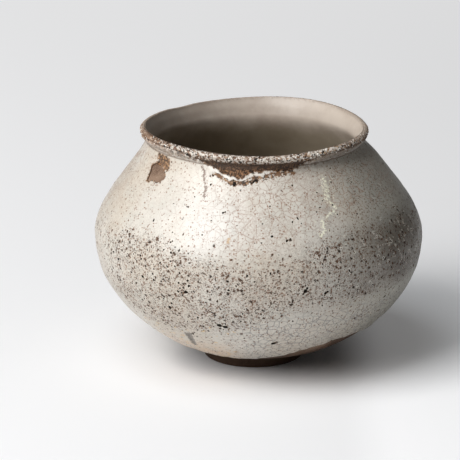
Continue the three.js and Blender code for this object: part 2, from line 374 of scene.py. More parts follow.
def grow(name, mesh, tree, settings):
    """Runs a geometry tree on a mesh and returns the plain mesh that comes out of it."""
    carrier = bpy.data.objects.new(name + "_carrier", mesh)
    bpy.context.scene.collection.objects.link(carrier)
    modifier = carrier.modifiers.new(name, "NODES")
    modifier.node_group = tree
    for item in tree.interface.items_tree:
        if item.in_out == "INPUT" and item.name in settings:
            modifier[item.identifier] = settings[item.name]
    evaluated = carrier.evaluated_get(bpy.context.evaluated_depsgraph_get())
    result = bpy.data.meshes.new_from_object(evaluated)
    bpy.data.objects.remove(carrier)
    result.name = name
    return result


# %% Points in and out of a mesh
def places_of(mesh):
    flat = np.zeros(len(mesh.vertices) * 3, np.float32)
    mesh.vertices.foreach_get("co", flat)
    return flat.reshape(-1, 3).astype(float)


def put_places(mesh, places):
    mesh.vertices.foreach_set("co", np.asarray(places, np.float32).ravel())
    mesh.update()


def mark(mesh, name, values):
    attribute = mesh.attributes.get(name) or mesh.attributes.new(name, "FLOAT", "POINT")
    attribute.data.foreach_set("value", np.asarray(values, np.float32).ravel())


def faces_out(mesh):
    """Turns a closed mesh right side out and says whether it is closed."""
    work = bmesh.new()
    work.from_mesh(mesh)
    if work.calc_volume(signed=True) < 0:
        bmesh.ops.reverse_faces(work, faces=work.faces)
    closed = all(edge.is_manifold for edge in work.edges)
    work.to_mesh(mesh)
    work.free()
    return closed


def place_piece(name, mesh, node):
    """Puts a finished mesh in the scene as a piece. It takes the place of a CAD node where one is given."""
    piece = bpy.data.objects.new(name, mesh)
    bpy.context.scene.collection.objects.link(piece)
    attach(piece, "root")
    if node:
        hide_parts(node)
    print(name, "has", sum(len(face.vertices) - 2 for face in mesh.polygons), "triangles")


# %% [markdown]
# ## Bare clay
#
# Where the glaze has gone the clay is a matt iron-brown body, ashy where it was long exposed, with shade
# painted in as darker brown round the foot and on the shaded right side. Layers of noise mix the browns,
# and a fine bump gives it tooth.
# Colours are scene colours, so they look darker here than in a paint program. Patterns are measured in mm.

# %% Clay material
DEEP_BROWN = (0.105, 0.060, 0.038)
WARM_BROWN = (0.24, 0.160, 0.112)
ASHY_BROWN = (0.40, 0.30, 0.225)
PALE_GRIT = (0.42, 0.33, 0.25)
PAINTED_SHADE_BROWN = (0.040, 0.021, 0.012)


def material_bench(name):
    """A new material, its bench, the place on the piece in mm, and its shader."""
    material = bpy.data.materials.new(name)
    material.use_nodes = True
    bench = Bench(material.node_tree)
    where = bench.scaled(bench.add("ShaderNodeTexCoord", out="Object"), 1 / MM)
    return material, bench, where, material.node_tree.nodes["Principled BSDF"]


def wire(bench, shader, sockets):
    for name, value in sockets.items():
        bench.tree.links.new(value, shader.inputs[name])


def bare_clay():
    material, bench, where, shader = material_bench("bare_clay")
    broad = bench.noise(where, 0.09, 4, 0.6)
    grain = bench.noise(where, 1.6, 4, 0.7)
    grit = bench.cells(where, 0.9)
    brown = bench.blend(bench.between(broad, 0.35, 0.65), DEEP_BROWN, WARM_BROWN)
    ashy = bench.blend(bench.between(grain, 0.45, 0.75, 0, 0.6), brown, ASHY_BROWN)
    speckled = bench.blend(bench.between(grit, 0.10, 0.22, 0.6, 0), ashy, PALE_GRIT)
    # Painted shade: darker brown low round the foot, under the belly, and on the jar's shaded right side.
    foot_shade = bench.between(bench.axis(where, "Z"), 4, 24, 0.88, 0)
    right_side_shade = bench.between(bench.axis(where, "X"), 33, 43, 0, 0.70)
    colour = bench.blend(bench.most(foot_shade, right_side_shade), speckled, PAINTED_SHADE_BROWN)
    bump = bench.bump(0.7, 0.25 * MM, bench.plus(grain, bench.times(grit, -0.5)))
    rough = bench.between(grain, 0.3, 0.7, 0.62, 0.9)
    shader.inputs["Specular IOR Level"].default_value = 0.2
    wire(bench, shader, {"Base Color": colour, "Roughness": rough, "Normal": bump})
    return material


BARE_CLAY = bare_clay()

# %% [markdown]
# ## Turning the clay
#
# A revolved wall follows a rule, so Geometry Nodes turn it: the outline is a chain of edges, the tree makes
# it a curve and sweeps it round a circle, and Merge by Distance closes the poles. Each ring stands for one
# CAD ring, with the same seams but with enough columns to look round.

# %% The wheel
WHEEL_RADIUS = 50 * MM
CLAY_CREASE = math.radians(50)


def wheel_tree(material):
    sizes = {"Columns": "Int", "Wheel radius": "Float"}
    tree, bench, given, result = new_tree("turned_on_the_wheel", sizes)
    round_trip = {0: given.outputs["Columns"], "Radius": given.outputs["Wheel radius"]}
    circle = bench.add("GeometryNodeCurvePrimitiveCircle", round_trip)
    outline = bench.add("GeometryNodeMeshToCurve", {0: given.outputs["Geometry"]})
    swept = bench.add("GeometryNodeCurveToMesh", {"Curve": circle, "Profile Curve": outline})
    closed = bench.add("GeometryNodeMergeByDistance", {"Geometry": swept, "Distance": 0.001 * MM})
    finish_tree(tree, bench, closed, material, result)
    return tree


WHEEL = wheel_tree(BARE_CLAY)


def turned(name, outline, columns, closed=True, material=BARE_CLAY):
    """Turns an outline of radii and heights, notes the true form on it, and lets it settle."""
    points = [(radius - WHEEL_RADIUS, -height, 0) for radius, height in outline]
    edges = [(i, i + 1) for i in range(len(points) - 1)]
    if closed:
        edges.append((len(points) - 1, 0))
    chain = bpy.data.meshes.new(name + "_outline")
    chain.from_pydata(points, edges, [])
    mesh = grow(name, chain, WHEEL, {"Columns": columns, "Wheel radius": WHEEL_RADIUS})
    places = places_of(mesh)
    mark(mesh, "height_mm", places[:, 2] / MM)
    mark(mesh, "radius_mm", np.hypot(places[:, 0], places[:, 1]) / MM)
    put_places(mesh, settled(places))
    mesh.materials.clear()
    mesh.materials.append(material)
    tight = faces_out(mesh)
    mesh.shade_smooth()
    mesh.set_sharp_from_angle(angle=CLAY_CREASE)
    print(name, "is closed:", tight)
    return mesh


# %% Foot ring, lower bowl and upper bowl
CLAY_COLUMNS = 256
OUTER_SEAM = share_at(OUTER_UPPER, COLLAR_HEIGHT)
INNER_SEAM = share_at(INNER_UPPER, COLLAR_HEIGHT)


def foot_outline():
    inner = FOOT_RADIUS - FOOT_WALL
    edge = 0.3 * FOOT_EDGE
    return [
        (inner, FOOT_TOP), (inner, FOOT_EDGE), (inner + edge, edge), (inner + FOOT_EDGE, 0),
        (FOOT_RADIUS - FOOT_EDGE, 0), (FOOT_RADIUS - edge, edge), (FOOT_RADIUS, FOOT_EDGE),
        (FOOT_RADIUS + FOOT_FLARE / 12, FOOT_TOP / 4), (FOOT_RADIUS + FOOT_FLARE / 4, FOOT_TOP / 2),
        (FOOT_RADIUS + FOOT_FLARE / 2, FOOT_TOP * 0.75), (BASE_RADIUS, FOOT_TOP),
    ]


def lower_outline():
    outside = stations(OUTER_LOWER, 0, 1, 44)
    inside = stations(INNER_LOWER, 1, 0, 20)
    return [(0, FOOT_TOP), *outside, *inside, (0, FLOOR_HEIGHT - FLOOR_DISH)]


def upper_outline():
    outside = stations(OUTER_UPPER, 0, OUTER_SEAM, 32)
    inside = stations(INNER_UPPER, INNER_SEAM, 0, 16)
    return [*outside, *inside]


foot_mesh = turned("foot_ring_clay", foot_outline(), CLAY_COLUMNS)
place_piece("foot_ring_clay", foot_mesh, "foot_ring")
lower_mesh = turned("lower_bowl_clay", lower_outline(), CLAY_COLUMNS, False)
place_piece("lower_bowl_clay", lower_mesh, "lower_bowl")
upper_mesh = turned("upper_bowl_clay", upper_outline(), CLAY_COLUMNS)
place_piece("upper_bowl_clay", upper_mesh, "upper_bowl")

# %% [markdown]
# ## The lip
#
# The rolled lip has almost no glaze left. It is an iron-brown crust full of pale grains and dark holes, so a
# finer ring is turned for it, noise roughens its surface, and a tree sets some eight hundred loose-looking
# grains into it. Round the back and the right its inner side is rubbed smooth. Each grain's colour is the
# random colour of a Voronoi cell, cut into steps of dark, brown, tan and cream.

# %% Grains of clay, as cells
RUBBED_FROM = -24
RUBBED_TO = 4


def pushed(bench, where, scale, amount):
    """The place, shifted by noise, so that cells lose their straight sides."""
    push = bench.shake(where, scale, amount)
    return bench.add("ShaderNodeVectorMath", {0: where, 1: push}, operation="ADD")


def grain_tone(bench, where, scale, push=0.9):
    """A random value for each grain of about 1 / scale mm."""
    colour = bench.cells(pushed(bench, where, 2 * scale, push / scale), scale, out="Color")
    return bench.add("ShaderNodeSeparateColor", {0: colour}, out=0)


def behind_and_right(bench, place):
    """A measure that grows towards the back of the jar, and less quickly towards its right."""
    across = bench.times(bench.most(bench.axis(place, "X"), 0.0), 0.6)
    return bench.plus(bench.axis(place, "Y"), across)


def rubbed(bench, where):
    """The share of the lip whose inner side is rubbed smooth and pale."""
    return bench.between(behind_and_right(bench, where), RUBBED_FROM, RUBBED_TO)


# %% Crust of the lip
HOLE_BLACK = (0.016, 0.011, 0.008)
IRON_BROWN = (0.160, 0.085, 0.050)
TAN = (0.34, 0.235, 0.170)
ORANGE_TAN = (0.42, 0.265, 0.150)
CREAM_GRAIN = (0.655, 0.595, 0.525)
DUSTY_BROWN = (0.38, 0.245, 0.165)
UNDER_SHADE = (0.055, 0.036, 0.026)


def crust_tones(bench, where):
    """The worn lip: pale, tan, rust and near-black grains, browner towards the two sides and the back, with
    painted shade under its roll on the right.
    """
    tone = grain_tone(bench, where, 0.88, 0.5)
    patch = bench.less(bench.noise(where, 0.16, 3, 0.65), 0.5)
    across = bench.axis(where, "X")
    aside = bench.between(bench.math("ABSOLUTE", across), 28, 62, 0, 0.24)
    aside = bench.plus(aside, bench.between(across, 15, 50, 0, -0.11))
    aside = bench.plus(aside, bench.between(bench.axis(where, "Y"), -15, 30, 0, 0.35))
    shifted = bench.plus(bench.less(bench.times(patch, 0.7), aside), tone)
    holes = bench.less(shifted, bench.between(across, 15, 45, 0, 0.07))
    dark = bench.blend(bench.between(holes, 0.08, 0.15), HOLE_BLACK, IRON_BROWN)
    sand = bench.blend(bench.between(across, 0, 35), TAN, ORANGE_TAN)
    crust = bench.blend(bench.between(shifted, 0.27, 0.35), dark, sand)
    crust = bench.blend(bench.between(shifted, 0.47, 0.55), crust, CREAM_GRAIN)
    crust = bench.blend(bench.between(across, -45, -62, 0, 0.62), crust, DUSTY_BROWN)
    # Painted shade: the underside of the lip's roll is darkened on the right side.
    under = bench.between(bench.axis(where, "Z"), 131.6, 130.4, 0, 0.7)
    under = bench.times(under, bench.between(across, 20, 50))
    return bench.blend(under, crust, UNDER_SHADE), shifted


# %% Lip material
BARE_DARK = (0.052, 0.029, 0.018)
BARE_BROWN = (0.155, 0.090, 0.052)
RUSTY_GRAIN = (0.28, 0.150, 0.080)
HOLE_BROWN = (0.020, 0.013, 0.010)
UNDER_LIP_SHADOW = (0.078, 0.058, 0.047)
RUBBED_TAN = (0.40, 0.33, 0.27)


def bare_tones(bench, where):
    """Rough iron-brown clay with rusty grains, darkened close under the lip with painted shade."""
    tone = grain_tone(bench, where, 1.45, 0.6)
    fine = bench.noise(where, 0.9, 4, 0.7)
    brown = bench.blend(bench.between(fine, 0.35, 0.65), BARE_DARK, BARE_BROWN)
    rusty = bench.blend(bench.between(tone, 0.72, 0.78), brown, RUSTY_GRAIN)
    holed = bench.blend(bench.between(tone, 0.24, 0.18), rusty, HOLE_BROWN)
    # Painted shade: the bare clay just under the lip's overhang is darkened.
    lip_shadow = bench.between(bench.named("height_mm"), 123.6, 126.6, 0, 0.62)
    return bench.blend(lip_shadow, holed, UNDER_LIP_SHADOW), fine


def lip_clay():
    material, bench, where, shader = material_bench("lip_clay")
    crust, tone = crust_tones(bench, where)
    fleck = bench.times(bench.less(bench.noise(where, 0.5, 4, 0.7), 0.5), 2.5)
    inward = bench.between(bench.plus(bench.named("radius_mm"), fleck), 63.9, 63.0)
    inward = bench.times(inward, rubbed(bench, where))
    crust = bench.blend(bench.times(inward, 0.85), crust, RUBBED_TAN)
    bare, fine = bare_tones(bench, where)
    rumpled = bench.times(bench.less(fine, 0.5), 2.2)
    on_crust = bench.between(bench.plus(bench.named("height_mm"), rumpled), 128.8, 130.0)
    colour = bench.blend(on_crust, bare, crust)
    bump = bench.bump(0.9, 0.45 * MM, bench.plus(bench.math("MINIMUM", tone, 0.7), bench.times(fine, 0.6)))
    rough = bench.between(tone, 0.4, 0.6, 0.75, 0.38)
    shine = bench.math("MULTIPLY_ADD", on_crust, 0.3, 0.15)
    looks = {"Base Color": colour, "Roughness": rough, "Specular IOR Level": shine, "Normal": bump}
    wire(bench, shader, looks)
    return material


LIP_CLAY = lip_clay()


# %% Turn the collar and roughen its lip
COLLAR_COLUMNS = 640
LIP_STEPS = 30
CRUST_FROM = NECK_HEIGHT / MM + 1.4


def stored(bench, name):
    """A value that a mesh carries, read in a geometry tree."""
    return bench.add("GeometryNodeInputNamedAttribute", {"Name": name}, data_type="FLOAT")


def rough_lip_tree():
    sizes = {"Grain size": "Float", "Depth": "Float", "Starts at": "Float"}
    tree, bench, given, result = new_tree("roughened_lip", sizes)
    place = bench.add("GeometryNodeInputPosition")
    scale = bench.math("DIVIDE", 1.0, given.outputs["Grain size"])
    crust = bench.add("ShaderNodeTexNoise", {"Vector": place, "Scale": scale, "Detail": 2.0}, out="Fac")
    above = bench.less(stored(bench, "height_mm"), given.outputs["Starts at"])
    along = behind_and_right(bench, place)
    kept_rough = bench.between(along, RUBBED_FROM * MM, RUBBED_TO * MM, 1, 0.35)
    on_lip = bench.times(bench.between(above, 0.0, 1.5), kept_rough)
    sink = bench.times(bench.less(crust, 0.8), given.outputs["Depth"])
    offset = bench.scaled(bench.add("GeometryNodeInputNormal"), bench.times(sink, on_lip))
    moved = {"Geometry": given.outputs["Geometry"], "Offset": offset}
    finish_tree(tree, bench, bench.add("GeometryNodeSetPosition", moved), LIP_CLAY, result)
    return tree


def collar_outline():
    outside = stations(OUTER_UPPER, OUTER_SEAM, 1, 6)
    lip = spline(LIP_POINTS, np.linspace(0, 1, LIP_STEPS + 1))[1:]
    inside = bezier(INNER_UPPER, [(1 + INNER_SEAM) / 2, INNER_SEAM])
    return [*outside, *lip, *inside]


smooth_collar = turned("smooth_collar", collar_outline(), COLLAR_COLUMNS, True, LIP_CLAY)
rough = {"Grain size": 1.7 * MM, "Depth": 0.95 * MM, "Starts at": CRUST_FROM}
collar_mesh = grow("collar_clay", smooth_collar, rough_lip_tree(), rough)
place_piece("collar_clay", collar_mesh, "collar")

# %% Loose grains: their material, and the bed that they lie on
CREAM_SPECK = (0.76, 0.72, 0.66)
SPECK_BLACK = (0.018, 0.012, 0.009)
SPECK_BROWN = (0.190, 0.110, 0.065)


def grit_material():
    material, bench, where, shader = material_bench("lip_grit")
    across = bench.math("ABSOLUTE", bench.axis(where, "X"))
    tone = bench.named("grain_tone")
    paler = bench.less(tone, bench.between(across, 30, 60, 0, 0.35))
    dark = bench.blend(bench.between(tone, 0.14, 0.22), SPECK_BLACK, SPECK_BROWN)
    pale = bench.blend(bench.between(paler, 0.44, 0.50), dark, CREAM_SPECK)
    wire(bench, shader, {"Base Color": pale, "Roughness": bench.between(tone, 0.2, 0.9, 0.7, 0.3)})
    return material


def grit_bed():
    """An open strip over the lip, with the share of grains at each place."""
    lip = spline(LIP_POINTS, np.linspace(0.04, 0.74, 25))
    covered = 1 - smooth(lip[:, 1], GLAZE_TOP - 0.3 * MM, GLAZE_TOP + 0.4 * MM)
    strip = beside(lip, (0.30 - 0.75 * covered) * MM)
    bed = turned("grit_bed", strip, COLLAR_COLUMNS, False, LIP_CLAY)
    places = places_of(bed)
    turn = np.arctan2(places[:, 1], places[:, 0] - AXIS_X)
    height = np.zeros(len(places), np.float32)
    bed.attributes["height_mm"].data.foreach_get("value", height)
    pulled_back = height * MM < crawl_height(turn) + 0.3 * MM
    share = np.where(height * MM > GLAZE_TOP, 1.0, np.where(pulled_back, 0.45, 0.0))
    share *= smooth(height, 127.2, 129.5)
    front = 0.5 - 0.5 * np.sin(turn)
    share *= smooth(front, 0.35, 0.75)
    mark(bed, "grain_share", share)
    return bed


# %% Set the grains into the lip
WHOLE_TURN = (6.28, 6.28, 6.28)


def random_value(bench, low, high, seed):
    """A random number for each point, or three of them where low and high hold three."""
    if isinstance(low, tuple):
        inputs = {0: low, 1: high, "Seed": seed}
        return bench.add("FunctionNodeRandomValue", inputs, data_type="FLOAT_VECTOR")
    inputs = {2: low, 3: high, "Seed": seed}
    return bench.add("FunctionNodeRandomValue", inputs, out=1, data_type="FLOAT")


def strewn(bench, mesh, density, seed):
    """Points strewn over a mesh, and for each the rotation that stands it on its face."""
    inputs = {"Mesh": mesh, "Density": density, "Seed": seed}
    points = bench.add("GeometryNodeDistributePointsOnFaces", inputs, out="Points")
    return points, points.node.outputs["Rotation"]


def store(bench, geometry, name, value, domain, kind="FLOAT"):
    inputs = {"Geometry": geometry, "Name": name, "Value": value}
    return bench.add("GeometryNodeStoreNamedAttribute", inputs, data_type=kind, domain=domain)


def grit_tree(material):
    sizes = {"Grains per square metre": "Float", "Smallest": "Float", "Largest": "Float"}
    tree, bench, given, result = new_tree("grains_in_the_lip", sizes)
    place = bench.add("GeometryNodeInputPosition")
    patches = bench.between(bench.noise(place, 260.0, 2.0), 0.35, 0.6, 0.3, 1.0)
    share = bench.times(stored(bench, "grain_share"), patches)
    density = bench.times(share, given.outputs["Grains per square metre"])
    points = strewn(bench, given.outputs["Geometry"], density, 11)[0]
    grain = bench.add("GeometryNodeMeshIcoSphere", {"Radius": 1.0, "Subdivisions": 1})
    size = random_value(bench, given.outputs["Smallest"], given.outputs["Largest"], 5)
    turn = bench.add("FunctionNodeEulerToRotation", {0: random_value(bench, (0, 0, 0), WHOLE_TURN, 7)})
    stretch = random_value(bench, (0.7, 0.6, 0.5), (1.3, 1.0, 0.9), 9)
    placed = {"Points": points, "Instance": grain, "Rotation": turn, "Scale": bench.scaled(stretch, size)}
    grains = bench.add("GeometryNodeInstanceOnPoints", placed)
    toned = store(bench, grains, "grain_tone", random_value(bench, 0.0, 1.0, 13), "INSTANCE")
    finish_tree(tree, bench, toned, material, result)
    return tree


strewing = {"Grains per square metre": 1.1e6, "Smallest": 0.26 * MM, "Largest": 0.66 * MM}
grit_mesh = grow("lip_grit", grit_bed(), grit_tree(grit_material()), strewing)
grit_places = places_of(grit_mesh)
grit_places[:, 2] = np.minimum(grit_places[:, 2], cad_high.z - 0.02 * MM)
put_places(grit_mesh, grit_places)
place_piece("lip_grit", grit_mesh, None)

# %% [markdown]
# ## The inner coat
#
# Inside, the glaze is thinner and satin, pale round the throat and darker brown below it, with painted shade
# on its left side and painted light on its right. It is a thin turned skin that ends on the inside of the
# lip, where the crust's own tones take over.

# %% Inner coat material
LOWER_COAT_DARK = (0.262, 0.215, 0.155)
LOWER_COAT_LIGHT = (0.320, 0.266, 0.197)
THROAT_TAN = (0.40, 0.330, 0.275)
THROAT_CREAM = (0.50, 0.430, 0.368)
SHADED_COAT = (0.10, 0.085, 0.070)
PAINTED_LIGHT_COAT = (0.80, 0.70, 0.58)
WORN_RIM = (0.17, 0.110, 0.078)


def inner_coat():
    material, bench, where, shader = material_bench("inner_coat")
    across = bench.axis(where, "X")
    broad = bench.noise(where, 0.05, 4, 0.6)
    fine = bench.noise(where, 0.8, 4, 0.6)
    edge = bench.plus(bench.axis(where, "Z"), bench.times(bench.less(broad, 0.5), 10))
    tinted = bench.blend(bench.between(broad, 0.35, 0.65), LOWER_COAT_DARK, LOWER_COAT_LIGHT)
    pale = bench.blend(bench.between(broad, 0.35, 0.7), THROAT_TAN, THROAT_CREAM)
    # The coat is darker brown below the throat and pale round it.
    coat = bench.blend(bench.between(edge, 112, 124), tinted, pale)
    # Painted shade darkens the coat's left side, and painted light brightens its right side.
    coat = bench.blend(bench.between(across, -62, 10, 0.42, 0), coat, SHADED_COAT)
    coat = bench.blend(bench.between(across, 5, 50, 0, 0.16), coat, PAINTED_LIGHT_COAT)
    lifted = bench.times(bench.less(fine, 0.5), 2.0)
    worn = bench.between(bench.plus(bench.named("height_mm"), lifted), 132.4, 133.3)
    worn = bench.times(worn, bench.between(rubbed(bench, where), 0, 1, 1, 0.25))
    rim = bench.blend(0.6, crust_tones(bench, where)[0], WORN_RIM)
    bump = bench.bump(0.3, 0.2 * MM, fine)
    rough = bench.between(fine, 0.3, 0.7, 0.35, 0.55)
    wire(bench, shader, {"Base Color": bench.blend(worn, coat, rim), "Roughness": rough, "Normal": bump})
    return material


# %% Turn the inner coat
COAT_GAP = 0.05 * MM
COAT_THICKNESS = 0.95 * MM
COAT_END = 0.75


def inner_outline():
    throat = spline(LIP_POINTS, np.linspace(1, COAT_END, 9))[1:]
    wall = [
        (0, FLOOR_HEIGHT - FLOOR_DISH),
        *stations(INNER_LOWER, 0, 1, 24),
        *stations(INNER_UPPER, 0, 1, 20)[1:],
        *throat,
    ]
    thin = 1 - 0.78 * smooth(np.array(wall)[:, 1], 129 * MM, 132.5 * MM)
    near = beside(wall, COAT_GAP)
    far = beside(wall, COAT_GAP + COAT_THICKNESS * thin)
    return [*near, *far[::-1]]


inner_mesh = turned("inner_coat", inner_outline(), CLAY_COLUMNS, False, inner_coat())
place_piece("inner_coat", inner_mesh, "inner_glaze")

# %% [markdown]
# ## The outer glaze, as a skin
#
# The outer glaze is the jar's face. It is built as a closed skin of its own: a grid that runs round the jar
# and from the ragged hem above the foot up to the ragged edge under the lip. Places on it are given by a
# turn in degrees, where -90 faces the camera, and a height in mm, so that each mark of the real jar has its
# own line. Inside the script the second number of a place is its run, the way along the outline from the
# foot.

# %% Edges of the skin
SKIN_COLUMNS = 432
SKIN_ROWS = 96
EDGE_ROWS = np.array([0, 0.1, 0.3, 0.6, 1.0]) * MM
SKIN_GAP = 0.05 * MM
SKIN_TOP = 1.0 * MM
HEM_MEAN = 17.5 * MM
HEM_WAVES = [(1, 7 * MM, 6), (3, 3.4 * MM, 85), (5, 1.1 * MM, 12)]
HEM_LIFTS = [(1.3 * MM, -44, 8), (0.9 * MM, -58, 15)]
HEM_FRINGE = (3, (12, 90), 0.28 * MM)


def outside_path():
    shares = np.linspace(0, 1, 601)
    lip = spline(LIP_POINTS, shares[:361])
    return np.concatenate([bezier(OUTER_LOWER, shares), bezier(OUTER_UPPER, shares)[1:], lip[1:]])


PATH = outside_path()
PATH_RUN = np.concatenate([[0], np.cumsum(np.linalg.norm(np.diff(PATH, axis=0), axis=1))])
PATH_ALONG = np.gradient(PATH, PATH_RUN, axis=0)
PATH_ALONG /= np.linalg.norm(PATH_ALONG, axis=1)[:, None]


def run_at(height):
    """How far along the outside of the wall, from the foot, a height is."""
    rising = PATH[:, 1] <= LIP_HEIGHT - 1.6 * MM
    return np.interp(height, PATH[rising, 1], PATH_RUN[rising])


def on_path(values, run):
    return np.interp(run, PATH_RUN, values)


def hem_run(turn):
    raised = 0
    for rise, at, width in HEM_LIFTS:
        raised += rise * np.exp(-(turn_away(turn, at) / math.radians(width)) ** 2)
    return run_at(HEM_MEAN + wave(HEM_WAVES, turn) + raised + ragged(turn, *HEM_FRINGE))


def top_run(turn):
    return run_at(crawl_height(turn))


# %% Marks on the skin: where they are
BAND_EDGES = np.array([
    (-180, 49, 86), (-155, 46, 86), (-137, 37, 89), (-124, 35, 86), (-113, 36, 82), (-103, 40, 79),
    (-93, 46, 77), (-86, 50, 79), (-79, 54, 83), (-72, 55, 87), (-60, 56, 90), (-43, 59, 93),
    (0, 60, 92), (50, 54, 88), (100, 50, 84), (140, 52, 86), (180, 49, 86),
], float)
BROWN_LINE = [
    (-110.0, 121.6), (-107.5, 120.3), (-105.0, 119.2), (-103.0, 117.8), (-99.0, 118.2), (-95.5, 118.1),
    (-93.5, 119.6), (-91.0, 120.8), (-88.0, 120.9), (-84.5, 121.1), (-81.0, 122.4), (-76.5, 122.8),
    (-71.3, 122.5),
]
SCAR = [
    (-57.0, 118.7), (-58.0, 115.9), (-58.2, 113.1), (-59.2, 109.9), (-59.3, 107.2), (-57.6, 105.3),
    (-56.9, 103.6), (-60.4, 101.9), (-64.0, 99.5), (-64.7, 96.3), (-65.3, 93.6), (-66.7, 92.8),
]
SCAR_BREAK = 101.5
DRIP_TRAIL = [
    (-117.2, 124.6), (-115.6, 122.6), (-116.0, 119.0), (-115.0, 117.4), (-114.0, 115.0), (-113.7, 110.5),
]
GREY_CHIP = [
    (-122.4, 32.6), (-119.2, 33.7), (-119.8, 30.5), (-120.7, 26.8), (-122.7, 21.9), (-124.2, 22.4),
    (-123.3, 25.6), (-122.6, 28.9),
]
OCHRE_SPOT = [(-100.5, 92.2), (-100.9, 90.6)]
FLAKE_EDGE = [
    (-147.0, 121.8), (-149.0, 120.3), (-151.0, 119.0), (-150.9, 117.2), (-149.7, 115.4), (-150.0, 114.2),
    (-149.2, 113.0), (-148.6, 111.2), (-146.8, 111.1), (-145.3, 112.3), (-143.7, 112.5), (-142.0, 112.1),
    (-140.7, 112.3), (-139.6, 113.3), (-138.5, 114.4), (-137.9, 116.0), (-139.2, 117.6), (-140.9, 118.3),
    (-142.6, 119.4), (-144.9, 120.9),
]
OCHRE_LOBE = [
    (-149.3, 126.3), (-147.0, 125.7), (-144.3, 125.9), (-141.5, 125.5), (-139.2, 124.6), (-138.2, 123.6),
    (-139.0, 122.0), (-137.2, 120.0), (-138.0, 118.6), (-140.2, 118.9), (-142.2, 120.0), (-145.0, 121.2),
    (-147.6, 122.2), (-149.8, 124.0),
]

# %% Large pits: turn, height in mm, size in mm
LARGE_PITS = [
    (-104.7, 43.1, 2.3), (-102.6, 42.3, 2.2), (-83.7, 29.9, 2.8), (-82.6, 30.8, 1.6),
    (-74.3, 65.1, 2.0), (-73.6, 66.6, 1.4), (-75.0, 63.6, 1.1), (-67.0, 62.7, 1.5),
    (-66.2, 63.4, 1.1), (-146.3, 71.1, 1.6), (-133.0, 66.3, 1.5), (-134.0, 77.6, 1.2),
    (-128.3, 69.5, 1.1), (-127.0, 67.9, 1.0), (-128.0, 66.0, 1.2), (-138.7, 66.6, 1.1),
    (-134.7, 47.6, 1.4), (-133.0, 46.6, 1.3), (-132.0, 45.2, 1.0), (-127.7, 55.1, 1.2),
    (-125.0, 55.7, 0.9), (-123.4, 54.6, 0.7), (-122.0, 53.7, 1.2), (-123.3, 50.8, 1.8),
    (-125.7, 50.2, 1.0), (-118.3, 62.1, 1.3), (-117.0, 61.6, 1.0), (-115.3, 62.4, 1.9),
    (-114.3, 69.2, 1.4), (-114.0, 66.3, 1.3), (-121.3, 82.6, 1.2), (-120.0, 82.8, 0.9),
    (-122.3, 87.5, 0.9), (-121.7, 88.2, 0.8), (-120.0, 85.6, 0.8), (-124.3, 83.4, 0.9),
    (-125.0, 76.5, 1.1), (-124.7, 66.3, 1.0), (-123.0, 67.0, 0.9), (-117.7, 67.3, 1.1),
    (-117.3, 73.0, 1.0), (-116.0, 64.8, 1.1), (-121.0, 46.3, 1.0), (-100.3, 71.1, 1.2),
    (-86.0, 75.8, 1.1), (-137.0, 123.6, 0.6), (-100.7, 117.4, 2.2), (-92.3, 118.9, 2.2),
    (-90.3, 119.5, 1.9), (-101.0, 119.3, 0.8), (-111.3, 120.8, 0.8), (-112.0, 116.3, 0.8),
    (-120.0, 104.8, 0.7), (-108.3, 100.0, 0.7), (-122.7, 92.2, 0.7), (-98.0, 98.5, 0.6),
    (-85.0, 107.5, 0.7), (-76.7, 100.0, 0.9), (-88.3, 99.5, 0.8), (-79.7, 91.6, 1.3),
    (-78.4, 92.3, 1.0), (-85.0, 93.7, 1.1), (-104.0, 103.9, 1.1), (-103.2, 104.4, 0.7),
    (-42.7, 113.6, 0.9), (-48.3, 99.4, 1.0), (-58.0, 105.5, 1.0), (-50.0, 122.0, 0.8),
    (-74.0, 116.5, 0.8), (-63.3, 112.1, 0.8), (-62.0, 108.1, 0.7), (-52.3, 117.9, 0.8),
    (-54.3, 115.8, 0.9), (-57.3, 101.1, 0.9), (-66.0, 103.5, 0.8), (-117.0, 35.0, 0.9),
    (-96.0, 34.0, 0.9), (-110.0, 38.0, 1.0), (-112.5, 47.0, 1.1), (-96.5, 47.0, 0.9),
]


# %% How far each place is from a mark
def beside_line(line, turn, run, radius, upright):
    """How far in mm each place is beside a line, with a sign, and past its ends, above zero outside them."""
    turns = np.radians([at for at, height in line])
    runs = run_at(np.array([height for at, height in line]) * MM)
    if upright:
        order = np.argsort(runs)
        centre = np.interp(run, runs[order], turns[order])
        past = np.maximum(runs.min() - run, run - runs.max())
        return turn_away(turn - centre, 0) * radius / MM, past / MM
    order = np.argsort(turns)
    centre = np.interp(turn, turns[order], runs[order])
    past = np.maximum(turns.min() - turn, turn - turns.max()) * radius
    return (run - centre) / MM, past / MM


def beside_shape(corners, turn, run, radius):
    """Distance in mm to a closed outline on the surface, below zero inside it."""
    px, py = turn * radius, run
    best = np.full(turn.shape, 1.0)
    inside = np.zeros(turn.shape, bool)
    spots = [(math.radians(at) * radius, float(run_at(height * MM))) for at, height in corners]
    for (x0, y0), (x1, y1) in zip(spots, spots[1:] + spots[:1]):
        dx, dy = x1 - x0, y1 - y0
        along = np.clip(((px - x0) * dx + (py - y0) * dy) / (dx * dx + dy * dy), 0, 1)
        best = np.minimum(best, np.hypot(px - x0 - along * dx, py - y0 - along * dy))
        crosses = (py < y0) != (py < y1)
        inside ^= crosses & (px < x0 + dx * (py - y0) / (y1 - y0))
    return np.where(inside, -best, best) / MM


def wander(places, size, seed, waves=28):
    """Smooth unevenness of about the given size in metres, between about -1 and 1."""
    random = np.random.default_rng(seed)
    total = np.zeros(places.shape[:-1])
    for _ in range(waves):
        direction = random.normal(size=3)
        direction *= 2 * math.pi * random.uniform(0.6, 1.4) / (size * np.linalg.norm(direction))
        total += np.cos(places @ direction + random.uniform(0, 2 * math.pi))
    return total * math.sqrt(2 / waves) / 2


# %% Grid of the skin
BAND_SOFTNESS = 7 * MM


